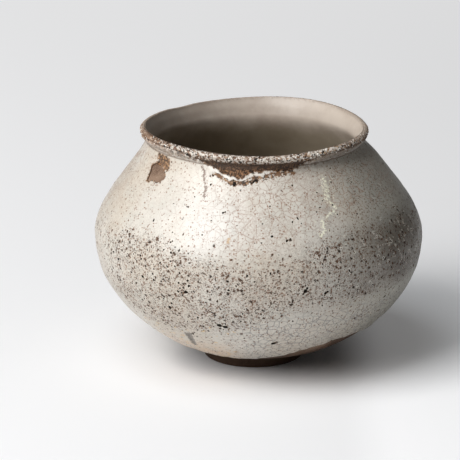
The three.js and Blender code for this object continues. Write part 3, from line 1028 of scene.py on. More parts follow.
def skin_grid():
    """Turn and run of each place of the outer face, and its distances from the hem and from the top edge."""
    turn = np.linspace(0, 2 * math.pi, SKIN_COLUMNS, endpoint=False)
    turn = (turn + math.pi) % (2 * math.pi) - math.pi
    hem, top = hem_run(turn), top_run(turn)
    edge = EDGE_ROWS[-1]
    middle = np.linspace(0, 1, SKIN_ROWS + 1)[:, None]
    body = hem + edge + (top - hem - 2 * edge) * middle
    low = hem + EDGE_ROWS[:-1, None]
    high = top - EDGE_ROWS[:-1][::-1, None]
    run = np.concatenate([low, body, high])
    return np.broadcast_to(turn, run.shape), run, run - hem, top - run


def skin_point(turn, run, offset):
    radius = on_path(PATH[:, 0], run) + on_path(PATH_ALONG[:, 1], run) * offset
    height = on_path(PATH[:, 1], run) - on_path(PATH_ALONG[:, 0], run) * offset
    return np.stack([radius * np.cos(turn), radius * np.sin(turn), height], -1)


# %% What the skin carries for its material
MARK_LINES = {
    "line": (BROWN_LINE, False),
    "scar": (SCAR, True),
    "drip": (DRIP_TRAIL, True),
    "ochre": (OCHRE_SPOT, True),
}
MARK_SHAPES = {"chip_mm": GREY_CHIP, "flake_mm": FLAKE_EDGE, "lobe_mm": OCHRE_LOBE}
LIP_EDGE = 126.4
BARE_SIDE = ((-72, -52), (120, 160))
STAINED_SIDE = ((-165, -140), (-112, -92))
SHADED_SIDE = ((-76, -29), (60, 110))
NETTED_SIDE = ((-112, -88), (-20, 20))
FARTHEST = 30


def side(degrees, rise, fall):
    """A share of 1 on one side of the jar, with soft ends given as pairs of turns."""
    return smooth(degrees, *rise) * (1 - smooth(degrees, *fall))


def skin_marks(turn, run, from_hem, from_top):
    """For each place, distances from the marks in mm and shares between 0 and 1, and the place itself."""
    radius = on_path(PATH[:, 0], run)
    height = on_path(PATH[:, 1], run)
    degrees = np.degrees(turn)
    spot = skin_point(turn, run, 0 * run)
    marks = {}
    for name, (line, upright) in MARK_LINES.items():
        marks[name + "_mm"], marks[name + "_past"] = beside_line(line, turn, run, radius, upright)
    faint = 1 - smooth(height, (SCAR_BREAK - 1.5) * MM, (SCAR_BREAK + 0.5) * MM)
    marks["scar_past"] = np.maximum(marks["scar_past"], 0.9 * faint)
    for name, corners in MARK_SHAPES.items():
        marks[name] = beside_shape(corners, turn, run, radius)
    marks["lip_mm"] = height / MM - LIP_EDGE
    marks["crusted"] = 1 - 0.85 * side(degrees, *BARE_SIDE)
    marks["edge_mm"] = np.minimum(from_hem, from_top) / MM
    low, high = (np.interp(degrees, BAND_EDGES[:, 0], edge) * MM for edge in BAND_EDGES.T[1:])
    belt = smooth(height, low - BAND_SOFTNESS, low + BAND_SOFTNESS)
    belt *= 1 - smooth(height, high - BAND_SOFTNESS, high + BAND_SOFTNESS)
    marks["band"] = belt * (0.75 + 0.25 * wander(spot, 30 * MM, 21))
    marks["band"] *= 0.35 + 0.65 * smooth(np.abs(degrees + 172), 10, 32)
    marks["dirty"] = np.exp(-((degrees + 60) / 9) ** 2) * smooth(height / MM, 122.0, 125.5)
    marks["peach"] = side(degrees, *STAINED_SIDE) * (1 - smooth(height, 17 * MM, 34 * MM))
    marks["ochre"] = side(degrees, *STAINED_SIDE) * (1 - smooth(height, 34 * MM, 46 * MM))
    marks["below"] = 1 - smooth(height, high - 6 * MM, high + 14 * MM)
    # Painted shade: 'grey' marks the jar's right side, away from the lamp, where the glaze's colour is
    # darkened.
    marks["grey"] = side(degrees, *SHADED_SIDE)
    marks["netted"] = side(degrees, *NETTED_SIDE) * (1 - smooth(height, 44 * MM, 58 * MM))
    marks["lined"] = (0.35 + 0.65 * smooth(np.abs(degrees + 135), 12, 45)) * (1 - 0.8 * marks["below"])
    # Painted highlight: a whiter patch on the left shoulder, where the broad lamp's reflection lies.
    marks["painted_highlight"] = np.exp(-((degrees + 110) / 17) ** 2 - ((height / MM - 97) / 15) ** 2)
    return {name: np.clip(values, -FARTHEST, FARTHEST) for name, values in marks.items()}, spot


# %% Relief of the skin
LEVEL_MEAN = -0.34
LEVEL_MOST = 0.9


def from_line(marks, name):
    """Distance in mm from a line, its ends counted."""
    return np.hypot(marks[name + "_mm"], np.maximum(marks[name + "_past"], 0))


def ridge(distance, at, width):
    """A rounded ridge of height 1, that runs at one distance from a mark."""
    return np.exp(-((distance - at) / width) ** 2)


def skin_relief(marks, spot):
    """How far the outer face stands off the clay: never further out than the CAD skin at the belly."""
    edge = np.clip(marks["edge_mm"] * MM / EDGE_ROWS[-1], 0, 1)
    rounded = np.sqrt(1 - (1 - edge) ** 2)
    uneven = 0.16 * wander(spot, 22 * MM, 31) + 0.10 * wander(spot, 9 * MM, 32)
    uneven += 0.05 * wander(spot, 4 * MM, 33)
    level = LEVEL_MEAN + uneven - marks["band"] * 0.14 * np.abs(wander(spot, 3 * MM, 34))
    level -= 0.22 * (1 - smooth(from_line(marks, "line"), 0.5, 1.8))
    rumpled = 0.7 + 0.5 * wander(spot, 4 * MM, 36)
    level += 0.45 * rumpled * ridge(from_line(marks, "line"), 2.6, 1.0) * (marks["line_mm"] > 0)
    crust = np.clip(0.5 + wander(spot, 2.5 * MM, 35), 0, 1.2)
    level += 0.35 * crust * (1 - smooth(from_line(marks, "scar"), 0.8, 2.2))
    level += 0.25 * ridge(marks["flake_mm"], 1.2, 0.9)
    level -= 0.35 * (1 - smooth(marks["lobe_mm"], -0.6, 0.6)) + 0.35 * ridge(marks["lip_mm"], 0, 0.7)
    level += 0.22 * wander(spot, 2.6 * MM, 37) * smooth(marks["lip_mm"], 0.3, 1.5)
    level += 0.25 * ridge(marks["edge_mm"], 1.6, 1.1)
    level -= 0.35 * (1 - smooth(marks["chip_mm"], -0.8, 0.6))
    full = SKIN_TOP + np.minimum(level, LEVEL_MOST) * MM
    return SKIN_GAP + (full - SKIN_GAP) * rounded


# %% Build the skin
INNER_ROWS = 32
INNER_CROWDING = 1.7


def skin_faces(rows):
    """Four-sided faces that run round the grid both ways, so that the skin is closed."""
    index = np.arange(rows * SKIN_COLUMNS).reshape(rows, SKIN_COLUMNS)
    right, up = np.roll(index, -1, 1), np.roll(index, -1, 0)
    return np.stack([index, right, np.roll(up, -1, 1), up], -1).reshape(-1, 4)


def pitted_share(marks):
    """How thickly pits lie: more in the belt, none at the edges, in the flake, on the lobe or on the lip."""
    clear = (marks["edge_mm"] > 1.2) & (marks["flake_mm"] > 1.0)
    clear &= (marks["lobe_mm"] > 1) & (marks["lip_mm"] < -1)
    return np.where(clear, 0.05 + marks["band"] ** 1.5, 0)


def build_skin():
    turn, run, from_hem, from_top = skin_grid()
    marks, spot = skin_marks(turn, run, from_hem, from_top)
    outer = skin_point(turn, run, skin_relief(marks, spot))
    outer[[0, -1]] = skin_point(turn[[0, -1]], run[[0, -1]], np.full((2, SKIN_COLUMNS), -SKIN_GAP))
    share = (np.linspace(0, 1, INNER_ROWS + 2)[1:-1, None]) ** INNER_CROWDING
    inner_run = run[-1] - (run[-1] - run[0]) * share
    inner_turn = np.broadcast_to(turn[0], inner_run.shape)
    inner = skin_point(inner_turn, inner_run, np.full(inner_run.shape, SKIN_GAP))
    grid = np.concatenate([outer, inner])
    mesh = bpy.data.meshes.new("outer_skin")
    mesh.from_pydata(settled(grid).reshape(-1, 3).tolist(), [], skin_faces(len(grid)).tolist())
    hidden = np.ones((INNER_ROWS, SKIN_COLUMNS))
    for name, values in marks.items():
        inside = FARTHEST if name.endswith("_mm") else 0
        mark(mesh, name, np.concatenate([values, inside * hidden]))
    mark(mesh, "pitted", np.concatenate([pitted_share(marks), 0 * hidden]))
    mark(mesh, "pit", np.zeros(len(grid) * SKIN_COLUMNS))
    unwrap_belt(mesh, len(grid), len(outer))
    return mesh


# %% Unwrap the skin
HALF = SKIN_COLUMNS // 2
LANE_LEFT = 0.02
LANE_LENGTH = 0.97
LANE_FOOT = 0.01
LANE_HEIGHT = 0.485
OUTER_HEIGHT = 0.44
INNER_FOOT = 0.45
INNER_HEIGHT = 0.02


def unwrap_belt(mesh, rows, outer_rows):
    """Lays the belt out as two long rows, so that its texture is twice as fine, with the inner face in thin
    strips between them. One small corner is kept for the walls of the pits."""
    face_row, face_column = np.divmod(np.arange(rows * SKIN_COLUMNS), SKIN_COLUMNS)
    step = LANE_LENGTH / HALF
    left = LANE_LEFT + LANE_LENGTH * (face_column % HALF) / HALF
    floor = LANE_FOOT + LANE_HEIGHT * (face_column // HALF)
    outer_step = OUTER_HEIGHT / (outer_rows - 1)
    inner_step = INNER_HEIGHT / (rows - outer_rows + 1)
    on_outer = face_row < outer_rows - 1
    inner_low = INNER_FOOT + (face_row - outer_rows + 1) * inner_step
    low = np.where(on_outer, face_row * outer_step, inner_low)
    high = low + np.where(on_outer, outer_step, inner_step)
    corners = [(left, low), (left + step, low), (left + step, high), (left, high)]
    uv = np.stack([np.stack([x, floor + y], -1) for x, y in corners], 1)
    layer = mesh.uv_layers.new(name="OFBake")
    layer.data.foreach_set("uv", uv.astype(np.float32).ravel())


skin_mesh = build_skin()
print("Skin is closed:", faces_out(skin_mesh), "with", len(skin_mesh.polygons), "faces")


# %% [markdown]
# ## Pale crackled glaze
#
# The glaze is warm white. Thin brown-grey lines crackle it in cells of 2 to 9 mm, and dark specks and a
# taupe bloom gather in a belt round the belly. Voronoi cells, warped a little by noise, make the crackle.
# The marks that the skin's mesh carries in millimetres are frayed by noise and then cut off sharply, so they
# stay crisp however close the camera comes.

# %% Glaze: base tone
WARM_WHITE = (0.620, 0.585, 0.525)
SANDY_WHITE = (0.555, 0.495, 0.415)
GREYISH_WHITE = (0.555, 0.540, 0.480)
BRIGHT_WHITE = (0.68, 0.64, 0.58)
HIGHLIGHT_WHITE = (0.68, 0.67, 0.645)
SHADED_GREY = (0.345, 0.335, 0.290)


def glaze_tones(bench, where):
    """Warm white with broad sandy and greyish patches, a painted highlight in one place, and painted shade
    that greys the right side.
    """
    broad = bench.noise(where, 0.022, 4, 0.55)
    middle = bench.noise(where, 0.11, 4, 0.6)
    fine = bench.noise(where, 0.9, 3, 0.6)
    warm = bench.blend(bench.between(broad, 0.4, 0.62), WARM_WHITE, SANDY_WHITE)
    grey = bench.blend(bench.between(middle, 0.45, 0.7, 0, 0.6), warm, GREYISH_WHITE)
    lit = bench.blend(bench.between(fine, 0.35, 0.7, 0, 0.35), grey, BRIGHT_WHITE)
    # Painted highlight on the left shoulder; the line after it paints shade on the right side.
    lit = bench.blend(bench.times(bench.named("painted_highlight"), 0.45), lit, HIGHLIGHT_WHITE)
    return bench.blend(bench.times(bench.named("grey"), 0.84), lit, SHADED_GREY)


# %% Glaze: crackle
LARGE_CELLS = 0.115
SMALL_CELLS = 0.25
FINE_CELLS = 0.52


def crackle_lines(bench, where):
    """Nets of lines with cells of 9, 4 and 2 mm, that come and go, and a plain net low in front."""
    warped = pushed(bench, where, 0.25, 0.7)
    large = bench.cells(warped, LARGE_CELLS, feature="DISTANCE_TO_EDGE")
    small = bench.cells(warped, SMALL_CELLS, feature="DISTANCE_TO_EDGE")
    fine = bench.cells(warped, FINE_CELLS, feature="DISTANCE_TO_EDGE")
    fade = bench.noise(where, 0.07, 3, 0.6)
    wide = bench.between(large, 0.008, 0.034, 1, 0)
    wide = bench.times(wide, bench.between(fade, 0.3, 0.5, 0.2, 0.9))
    lines = bench.between(small, 0.018, 0.076, 0.95, 0)
    some = bench.times(lines, bench.between(fade, 0.60, 0.42, 0.5, 1))
    hair = bench.between(fine, 0.04, 0.14, 1, 0)
    hair = bench.times(hair, bench.between(fade, 0.45, 0.60, 0.05, 0.5))
    broken = bench.between(bench.noise(where, 1.1, 2, 0.6), 0.42, 0.56, 0.35, 1)
    broken = bench.times(broken, bench.named("lined"))
    loose = bench.times(bench.most(wide, bench.most(some, hair)), broken)
    net = bench.times(lines, bench.named("netted"))
    return bench.most(loose, bench.times(net, bench.between(fade, 0.35, 0.5, 0.6, 1.0)))


# %% Glaze: specks
def specks(bench, where, scale, density, low, high):
    """Ragged specks: a share of the cells, chosen by their random colour, hold one each."""
    ragged_where = pushed(bench, where, scale * 1.8, 1.1 / scale)
    distance = bench.cells(ragged_where, scale)
    colour = bench.cells(ragged_where, scale, out="Color")
    pick = bench.add("ShaderNodeSeparateColor", {0: colour}, out=0)
    size = bench.add("ShaderNodeSeparateColor", {0: colour}, out=1)
    chosen = bench.math("LESS_THAN", pick, density)
    size = bench.between(size, 0.0, 1.0, low, high)
    inside = bench.between(bench.math("DIVIDE", distance, size), 0.8, 1.0, 1, 0)
    return bench.times(inside, chosen)


# %% Glaze: bloom, painted shade, mottle, peach and ochre
BLOOM_TAUPE = (0.42, 0.360, 0.300)
PAINTED_BELT_SHADE = (0.106, 0.094, 0.074)
MOTTLE_GREY = (0.260, 0.245, 0.215)
PEACH = (0.66, 0.49, 0.34)
OCHRE_SPECK = (0.66, 0.45, 0.19)


def bloomed(bench, where, colour, bloom):
    """Taupe bloom in the belt, painted shade on its shaded right side, a grey mottle thicker there, and
    peach and ochre stains low on the left.
    """
    grey = bench.named("grey")
    colour = bench.blend(bloom, colour, BLOOM_TAUPE)
    # Painted shade: the belt darkens on the jar's shaded right side, and the mottle grows thicker there.
    colour = bench.blend(bench.times(bench.named("band"), grey, clamp=True), colour, PAINTED_BELT_SHADE)
    rugged = bench.most(bench.named("below"), bench.times(grey, 0.8))
    mottle = bench.between(bench.noise(where, 1.25, 2, 0.6), 0.46, 0.58)
    mottle = bench.times(mottle, bench.between(rugged, 0, 1, 0.06, 0.16))
    colour = bench.blend(mottle, colour, MOTTLE_GREY)
    peach = bench.between(bench.noise(where, 0.12, 4, 0.6), 0.35, 0.65, 0.2, 0.8)
    colour = bench.blend(bench.times(bench.named("peach"), peach), colour, PEACH)
    ochre = specks(bench, where, 0.30, bench.times(bench.named("ochre"), 0.6), 0.12, 0.45)
    return bench.blend(bench.times(ochre, 0.7), colour, OCHRE_SPECK)


# %% Glaze: dark specks and veins
SOFT_BROWN = (0.20, 0.125, 0.085)
RUSTY_DOT = (0.225, 0.110, 0.060)
SHADED_DOT = (0.120, 0.090, 0.062)
SPECK_RUSSET = (0.165, 0.092, 0.058)
SHADED_SPECK = (0.110, 0.068, 0.046)
COARSE_BLACK = (0.030, 0.020, 0.015)
COARSE_BROWN = (0.105, 0.058, 0.037)
VEIN_BROWN = (0.085, 0.054, 0.040)


def speckled(bench, where, colour, cloud):
    """Four sorts of specks, thickest in the belt, and veins among them; as painted shade, tiny dots and
    small specks are darker on the shaded right side. The sunken ones are returned too.
    """
    grey = bench.named("grey")
    patchy = bench.times(bench.named("band"), bench.between(cloud, 0.34, 0.58, 0.9, 1.7), clamp=True)
    soft = specks(bench, where, 1.15, bench.times(patchy, 0.8), 0.20, 0.60)
    colour = bench.blend(bench.times(soft, 0.42), colour, SOFT_BROWN)
    # Painted shade: on the shaded right side the tiny dots are more and darker, and the small specks darker.
    dotted = bench.most(bench.times(patchy, 0.5), bench.between(grey, 0, 1, 0.34, 0.80))
    tiny = specks(bench, where, 0.9, dotted, 0.16, 0.52)
    colour = bench.blend(bench.times(tiny, 0.78), colour, bench.blend(grey, RUSTY_DOT, SHADED_DOT))
    peppered = bench.most(bench.times(patchy, 0.72), bench.times(bench.named("below"), 0.20))
    small = specks(bench, where, 0.80, peppered, 0.12, 0.52)
    colour = bench.blend(bench.times(small, 0.90), colour, bench.blend(grey, SPECK_RUSSET, SHADED_SPECK))
    coarse = specks(bench, where, 0.42, bench.between(patchy, 0, 1, 0.03, 0.85), 0.10, 0.42)
    rusted = bench.between(bench.noise(where, 0.4), 0.42, 0.58)
    rust = bench.blend(rusted, COARSE_BLACK, COARSE_BROWN)
    colour = bench.blend(bench.times(coarse, 0.95), colour, rust)
    vein = bench.math("ABSOLUTE", bench.less(bench.noise(where, 0.75, 3, 0.6), 0.5))
    vein = bench.between(vein, 0.016, 0.038, 1, 0)
    cracked = bench.between(bench.noise(where, 0.55, 3, 0.6), 0.49, 0.53)
    cracked = bench.times(bench.times(cracked, patchy), vein)
    colour = bench.blend(bench.times(cracked, 0.85), colour, VEIN_BROWN)
    return colour, bench.most(small, coarse), cracked


# %% Glaze: the fringe where it crawled back
RUST_BLACK = (0.040, 0.022, 0.013)
RUST = (0.165, 0.080, 0.036)
SANDY_RUST = (0.33, 0.19, 0.095)
RIDGE_CREAM = (0.76, 0.73, 0.68)


def frayed(bench, where, name, scale, amount, past=None):
    """A distance in millimetres that the mesh carries, with its edge frayed by noise."""
    distance = bench.named(name)
    if past:
        beyond = bench.most(bench.named(past), 0.0)
        squares = bench.plus(bench.times(distance, distance), bench.times(beyond, beyond))
        distance = bench.math("SQRT", squares)
    fray = bench.times(bench.less(bench.noise(where, scale, 4, 0.65), 0.5), amount)
    return bench.plus(distance, fray)


def rusty_fringe(bench, where, colour):
    """The second brown line, and the pale ridge and brown edge where the glaze crawled back."""
    tone = grain_tone(bench, where, 1.0)
    rust = bench.blend(bench.between(tone, 0.25, 0.35), RUST_BLACK, RUST)
    rust = bench.blend(bench.between(tone, 0.72, 0.80), rust, SANDY_RUST)
    near = bench.between(bench.named("line_past"), 4.0, 1.0)
    ridged = bench.between(frayed(bench, where, "edge_mm", 0.7, 2.5), 1.0, 1.8)
    ridged = bench.times(ridged, bench.between(frayed(bench, where, "line_mm", 0.5, 3.0), 0.8, 1.8))
    colour = bench.blend(bench.times(bench.times(ridged, near), 0.8), colour, RIDGE_CREAM)
    swollen = bench.between(bench.noise(where, 0.22, 2, 0.5), 0.32, 0.62, 0.0, 1.6)
    line = bench.less(frayed(bench, where, "line_mm", 0.9, 4.0, "line_past"), swollen)
    line = bench.between(line, 0.0, 0.7, 0.92, 0)
    holes = bench.between(tone, 0.84, 0.88, 1, 0)
    colour = bench.blend(bench.times(line, holes), colour, rust)
    thin = bench.between(frayed(bench, where, "edge_mm", 1.0, 3.6), 0.5, 1.1, 0.95, 0)
    thin = bench.times(thin, bench.between(tone, 0.88, 0.92, 1, 0.2))
    return bench.blend(thin, colour, rust), bench.most(line, thin), rust


# %% Glaze: the marks of the real jar
DRIP_BROWN = (0.145, 0.085, 0.054)
SCAR_CREAM = (0.84, 0.82, 0.66)
DIRT = (0.13, 0.105, 0.085)
CHIP_BLACK = (0.040, 0.032, 0.026)
CHIP_GREY = (0.19, 0.160, 0.13)
OCHRE = (0.50, 0.31, 0.14)


def small_marks(bench, where, colour):
    """The drip trail, the scar, the dirt under the lip, the grey chip and the ochre spot."""
    drip = bench.between(frayed(bench, where, "drip_mm", 0.7, 5.0, "drip_past"), 0.45, 1.25, 0.9, 0)
    drip = bench.times(drip, bench.between(bench.noise(where, 0.45, 3, 0.6), 0.36, 0.48))
    colour = bench.blend(drip, colour, DRIP_BROWN)
    scar = bench.between(frayed(bench, where, "scar_mm", 0.7, 11.0, "scar_past"), 0.8, 1.6, 0.95, 0)
    scar = bench.times(scar, bench.between(bench.noise(where, 0.75, 3, 0.7), 0.42, 0.53, 0.1, 1))
    colour = bench.blend(scar, colour, SCAR_CREAM)
    dirt = bench.between(bench.noise(where, 0.5, 4, 0.65), 0.30, 0.62, 0.2, 1.1)
    dirt = bench.times(bench.times(dirt, bench.named("dirty")), 0.8)
    colour = bench.blend(dirt, colour, DIRT)
    chip = bench.between(frayed(bench, where, "chip_mm", 0.9, 4.0), 0.1, 0.8, 0.92, 0)
    hollow = bench.between(bench.noise(where, 1.1, 3, 0.7), 0.42, 0.58)
    colour = bench.blend(chip, colour, bench.blend(hollow, CHIP_BLACK, CHIP_GREY))
    spot = bench.between(frayed(bench, where, "ochre_mm", 0.9, 2.8, "ochre_past"), 0.3, 1.1, 0.7, 0)
    return bench.blend(spot, colour, OCHRE)


# %% Glaze: the lip's edge
CREASE_SHADE = (0.15, 0.105, 0.075)
STAINED_LIP = (0.20, 0.155, 0.12)
CREAM_LIP = (0.50, 0.45, 0.40)


def lip_edge(bench, where, colour):
    """A crease under the lip, darkened brown with painted shade, and the crust's own tones above it."""
    crease = bench.math("ABSOLUTE", frayed(bench, where, "lip_mm", 0.5, 0.9))
    # Painted shade: a dark line along the crease under the lip.
    colour = bench.blend(bench.between(crease, 0.15, 0.75, 0.75, 0), colour, CREASE_SHADE)
    on_lip = bench.between(frayed(bench, where, "lip_mm", 0.8, 2.0), 0.2, 1.6, 0, 0.85)
    crusted = bench.named("crusted")
    tinted = bench.blend(crusted, STAINED_LIP, CREAM_LIP)
    crust = crust_tones(bench, where)[0]
    worn = bench.blend(bench.between(crusted, 0, 1, 0.75, 0.30), crust, tinted)
    return bench.blend(on_lip, colour, worn)


def glaze_marks(bench, where, colour):
    """All marks of the real jar, and the share of each place that they leave matt."""
    colour, matt, rust = rusty_fringe(bench, where, colour)
    colour = small_marks(bench, where, colour)
    torn = bench.between(frayed(bench, where, "flake_mm", 0.8, 3.0), 0.3, 1.0, 0.9, 0)
    lobe = bench.between(frayed(bench, where, "lobe_mm", 0.6, 4.5), -0.2, 0.6, 0.92, 0)
    colour = bench.blend(bench.most(torn, lobe), colour, rust)
    return lip_edge(bench, where, colour), bench.most(matt, bench.most(torn, lobe))


# %% Glaze material
CRACKLE_BROWN = (0.260, 0.125, 0.072)
CRACKLE_GREY = (0.130, 0.122, 0.124)
PIT_SHADE_BLACK = (0.014, 0.010, 0.007)


def pale_glaze():
    material, bench, where, shader = material_bench("pale_glaze")
    cloud = bench.noise(where, 0.10, 5, 0.65)
    bloom = bench.times(bench.named("band"), bench.between(cloud, 0.32, 0.66, 0.02, 0.20))
    colour = bloomed(bench, where, glaze_tones(bench, where), bloom)
    crackle = crackle_lines(bench, where)
    stain = bench.blend(bench.named("below"), CRACKLE_BROWN, CRACKLE_GREY)
    colour = bench.blend(bench.times(crackle, 0.72), colour, stain)
    colour, small, cracked = speckled(bench, where, colour, cloud)
    colour, matt = glaze_marks(bench, where, colour)
    # The pits' walls are dark clay, painted near black as the shade inside the holes.
    pit = bench.between(bench.named("pit"), 0.02, 0.5)
    colour = bench.blend(pit, colour, PIT_SHADE_BLACK)
    dips = bench.plus(bench.times(crackle, 0.35), bench.plus(small, cracked))
    grain = bench.times(bench.noise(where, 1.1, 3, 0.6), 0.45)
    bump = bench.bump(0.5, 0.14 * MM, bench.less(grain, dips))
    gloss = bench.between(bloom, 0.0, 1.0, 0.36, 0.62)
    matt = bench.most(matt, small)
    rough = bench.most(gloss, bench.times(bench.most(pit, matt), 0.75))
    shine = bench.between(matt, 0.0, 1.0, 0.5, 0.15)
    looks = {"Base Color": colour, "Roughness": rough, "Specular IOR Level": shine, "Normal": bump}
    wire(bench, shader, looks)
    return material


PALE_GLAZE = pale_glaze()

# %% [markdown]
# ## Pits and the flake
#
# Gas burst through this glaze and left slit-like pits, most of them in the belt round the belly. They are
# real holes here: a tree scatters small rough lumps over the skin, as thickly as the mesh's own attribute
# says, and a boolean takes them out of it. The large pits and the flaked patch have their own places, and go
# along.

# %% Cutters of the large pits
LUMP_OFF = 0.64
LUMP_LENGTH = 0.66
LUMP_WIDTH = 0.52
LUMP_DEEPEST = 0.58
LUMP_ROUGH = 0.28


def large_pit_cutters():
    """A rough flat lump for each large pit, sunk into the skin at the pit's own place."""
    random = np.random.default_rng(17)
    work = bmesh.new()
    for degrees, height, size in LARGE_PITS:
        place = np.array(math.radians(degrees)), np.array(run_at(height * MM))
        centre = settled(skin_point(*place, np.array(LUMP_OFF * MM)))
        outward = Vector(settled(skin_point(*place, np.array(2 * MM))) - centre)
        spin = Matrix.Rotation(random.uniform(0, math.pi), 4, "Z")
        aim = outward.normalized().to_track_quat("Z", "Y").to_matrix().to_4x4() @ spin
        length, width = size * LUMP_LENGTH * MM, size * LUMP_WIDTH * MM
        stretch = Matrix.Diagonal((length, width, min(size, LUMP_DEEPEST) * MM, 1))
        lump = bmesh.ops.create_icosphere(work, subdivisions=2, radius=1.0)["verts"]
        for vert in lump:
            vert.co *= 1 + random.uniform(-LUMP_ROUGH, LUMP_ROUGH)
            vert.co = Vector(centre) + (aim @ stretch @ vert.co)
    mesh = bpy.data.meshes.new("large_pits")
    work.to_mesh(mesh)
    work.free()
    return mesh


# %% Cutter of the flake
TEAR_STEPS = 3
TEAR_ASIDE = 0.0030
TEAR_UP = 0.20
CUT_BELOW = -4.0 * MM
CUT_ABOVE = 5.0 * MM


def torn_edge():
    """Turns and runs along the edge of the flake, shaken a little between its corners."""
    random = np.random.default_rng(23)
    corners = [(math.radians(at), float(run_at(height * MM))) for at, height in FLAKE_EDGE]
    share = np.linspace(0, 1, TEAR_STEPS + 1)[:-1]
    loop = []
    for (t0, r0), (t1, r1) in zip(corners, corners[1:] + corners[:1]):
        for part in share:
            turn = t0 + (t1 - t0) * part + random.normal() * TEAR_ASIDE
            loop.append((turn, r0 + (r1 - r0) * part + random.normal() * TEAR_UP * MM))
    return np.array(loop).T


def flake_cutter():
    """The torn edge of the flake, run through the skin from inside to outside."""
    turn, run = torn_edge()
    count = len(turn)
    inside = settled(skin_point(turn, run, np.full(count, CUT_BELOW)))
    outside = settled(skin_point(turn, run, np.full(count, CUT_ABOVE)))
    sides = [(i, (i + 1) % count, count + (i + 1) % count, count + i) for i in range(count)]
    ends = [tuple(range(count))[::-1], tuple(range(count, 2 * count))]
    mesh = bpy.data.meshes.new("flake")
    mesh.from_pydata(np.concatenate([inside, outside]).tolist(), [], sides + ends)
    return mesh


# %% Join the cutters
PATCH_CORNER = (0, 0.98)
PATCH_FROM = 0.002
PATCH_TO = 0.012


def joined_cutters():
    """The flake and the large pits as one mesh, with the walls of the pits marked and laid out."""
    work = bmesh.new()
    flake = flake_cutter()
    faces_out(flake)
    work.from_mesh(flake)
    bmesh.ops.triangulate(work, faces=work.faces)
    first = len(work.verts)
    work.from_mesh(large_pit_cutters())
    mesh = bpy.data.meshes.new("cutters")
    work.to_mesh(mesh)
    work.free()
    values = np.ones(len(mesh.vertices))
    values[:first] = 0
    mark(mesh, "pit", values)
    layer = mesh.uv_layers.new(name="OFBake")
    spots = np.random.default_rng(2).uniform(PATCH_FROM, PATCH_TO, (len(mesh.loops), 2))
    layer.data.foreach_set("uv", (spots + np.array(PATCH_CORNER)).astype(np.float32).ravel())
    return mesh


cutters = bpy.data.objects.new("cutters", joined_cutters())
bpy.context.scene.collection.objects.link(cutters)


# %% Scatter the small pits and cut them all
def pit_lump(bench):
    """The round lump that every small pit starts from, marked, and laid out in the corner for pits."""
    lump = bench.add("GeometryNodeMeshIcoSphere", {"Radius": 1.0, "Subdivisions": 1})
    marked = store(bench, lump, "pit", 1.0, "POINT")
    place = bench.add("GeometryNodeInputPosition")
    corner = {0: place, 1: (0.006, 0.006, 0), 2: (0.009, 0.989, 0)}
    patch = bench.add("ShaderNodeVectorMath", corner, operation="MULTIPLY_ADD")
    return store(bench, marked, "OFBake", patch, "CORNER", "FLOAT2")


def pit_tree():
    sizes = {"Pits per square metre": "Float", "Length": "Float", "Depth": "Float", "Cutters": "Object"}
    tree, bench, given, result = new_tree("pitted_glaze", sizes)
    density = bench.times(stored(bench, "pitted"), given.outputs["Pits per square metre"])
    points, standing = strewn(bench, given.outputs["Geometry"], density, 4)
    spun = bench.add("FunctionNodeEulerToRotation", {0: random_value(bench, (0, 0, 0), (0.4, 0.4, 6.28), 6)})
    aimed = bench.add("FunctionNodeRotateRotation", {0: standing, 1: spun}, rotation_space="LOCAL")
    shape = random_value(bench, (0.35, 0.3, 0.6), (1.0, 0.55, 1.0), 8)
    size = bench.math("POWER", random_value(bench, 0.0, 1.0, 12), 3.0)
    length = bench.times(bench.math("MULTIPLY_ADD", size, 0.75, 0.55), given.outputs["Length"])
    span = bench.add("ShaderNodeCombineXYZ", {0: length, 1: length, 2: given.outputs["Depth"]})
    scale = bench.add("ShaderNodeVectorMath", {0: shape, 1: span}, operation="MULTIPLY")
    placed = {"Points": points, "Instance": pit_lump(bench), "Rotation": aimed, "Scale": scale}
    lumps = bench.add("GeometryNodeRealizeInstances", {0: bench.add("GeometryNodeInstanceOnPoints", placed)})
    offset = bench.shake(bench.add("GeometryNodeInputPosition"), 1500.0, 0.5 * MM, 1.0, 0.5)
    rumpled = bench.add("GeometryNodeSetPosition", {"Geometry": lumps, "Offset": offset})
    own = bench.add("GeometryNodeObjectInfo", {"Object": given.outputs["Cutters"]}, out="Geometry")
    both = tree.nodes.new("GeometryNodeJoinGeometry")
    tree.links.new(rumpled, both.inputs[0])
    tree.links.new(own, both.inputs[0])
    parts = {0: given.outputs["Geometry"], 1: both.outputs[0]}
    cut = bench.add("GeometryNodeMeshBoolean", parts, operation="DIFFERENCE", solver="MANIFOLD")
    finish_tree(tree, bench, cut, PALE_GLAZE, result)
    return tree


pits = {"Pits per square metre": 80000.0, "Length": 1.0 * MM, "Depth": 0.62 * MM, "Cutters": cutters}
glaze_mesh = grow("outer_glaze_skin", skin_mesh, pit_tree(), pits)
bpy.data.objects.remove(cutters)
glaze_mesh.shade_smooth()
glaze_mesh.set_sharp_from_angle(angle=math.radians(38))
place_piece("outer_glaze_skin", glaze_mesh, "outer_glaze")

# %% [markdown]
# ## Floor and light
#
# The jar stands on a plain pale sheet that runs out of view and brightens towards the back. One broad soft
# lamp on the left does the work, a weaker and cooler one above opens the mouth, and a faint even sky fills
# the shadows. The right side of the jar is left to fall into shade.

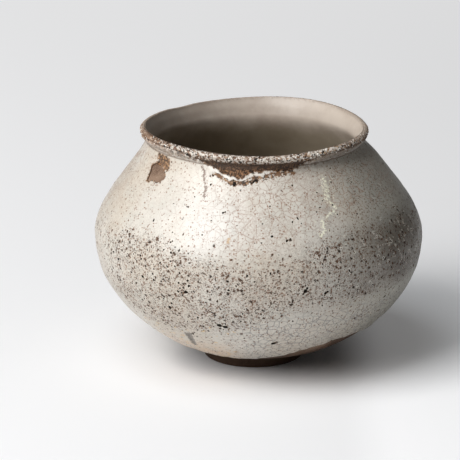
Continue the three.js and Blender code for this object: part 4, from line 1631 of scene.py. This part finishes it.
# %% Floor
FLOOR_SIZE = 6.0
HAZE_PER_MM = 0.33 * MM
SHADOW_LIFT = 0.10


def floor_paper():
    """Pale paper, with a faint glow behind the jar that only the camera sees, and painted light, seen only
    by the camera, that lifts the jar's shadow on its right.
    """
    material, bench, where, shader = material_bench("floor_paper")
    shader.inputs["Base Color"].default_value = (0.90, 0.90, 0.91, 1)
    shader.inputs["Roughness"].default_value = 0.9
    shader.inputs["Specular IOR Level"].default_value = 0.2
    shader.inputs["Emission Color"].default_value = (0.99, 0.99, 1, 1)
    further = bench.times(bench.axis(where, "Y"), HAZE_PER_MM)
    # Painted light: the floor right of the jar, where its shadow falls, is brightened for the camera.
    aside = bench.between(bench.axis(where, "X"), 40, 75, 0, SHADOW_LIFT)
    seen = bench.add("ShaderNodeLightPath", out="Is Camera Ray")
    wire(bench, shader, {"Emission Strength": bench.times(bench.most(further, aside), seen)})
    return material


corners = [(x * FLOOR_SIZE, y * FLOOR_SIZE, 0) for x, y in ((-1, -1), (1, -1), (1, 1), (-1, 1))]
floor_mesh = bpy.data.meshes.new("floor")
floor_mesh.from_pydata(corners, [], [(0, 1, 2, 3)])
floor_mesh.materials.append(floor_paper())
floor = bpy.data.objects.new("floor", floor_mesh)
bpy.context.scene.collection.objects.link(floor)


# %% Lamps and sky
LAMP_AIM = (0, 0, 0.07)


def lamp(name, place, size, watts, colour):
    data = bpy.data.lights.new(name, "AREA")
    data.shape = "RECTANGLE"
    data.size, data.size_y = size
    data.energy = watts
    data.color = colour
    light = bpy.data.objects.new(name, data)
    light.location = place
    light.rotation_euler = (Vector(LAMP_AIM) - Vector(place)).to_track_quat("-Z", "Y").to_euler()
    bpy.context.scene.collection.objects.link(light)


lamp("key_softbox", (-1.22, -0.96, 1.22), (1.3, 1.3), 39.8, (1.0, 0.99, 0.98))
lamp("top_softbox", (-0.45, -0.45, 1.60), (1.0, 1.0), 9, (0.93, 0.97, 1.0))

world = bpy.data.worlds.new("studio")
world.use_nodes = True
bpy.context.scene.world = world
sky = world.node_tree.nodes["Background"]
sky.inputs["Color"].default_value = (1.0, 0.99, 0.97, 1)
sky.inputs["Strength"].default_value = 0.10
bpy.context.scene.view_settings.view_transform = "Standard"
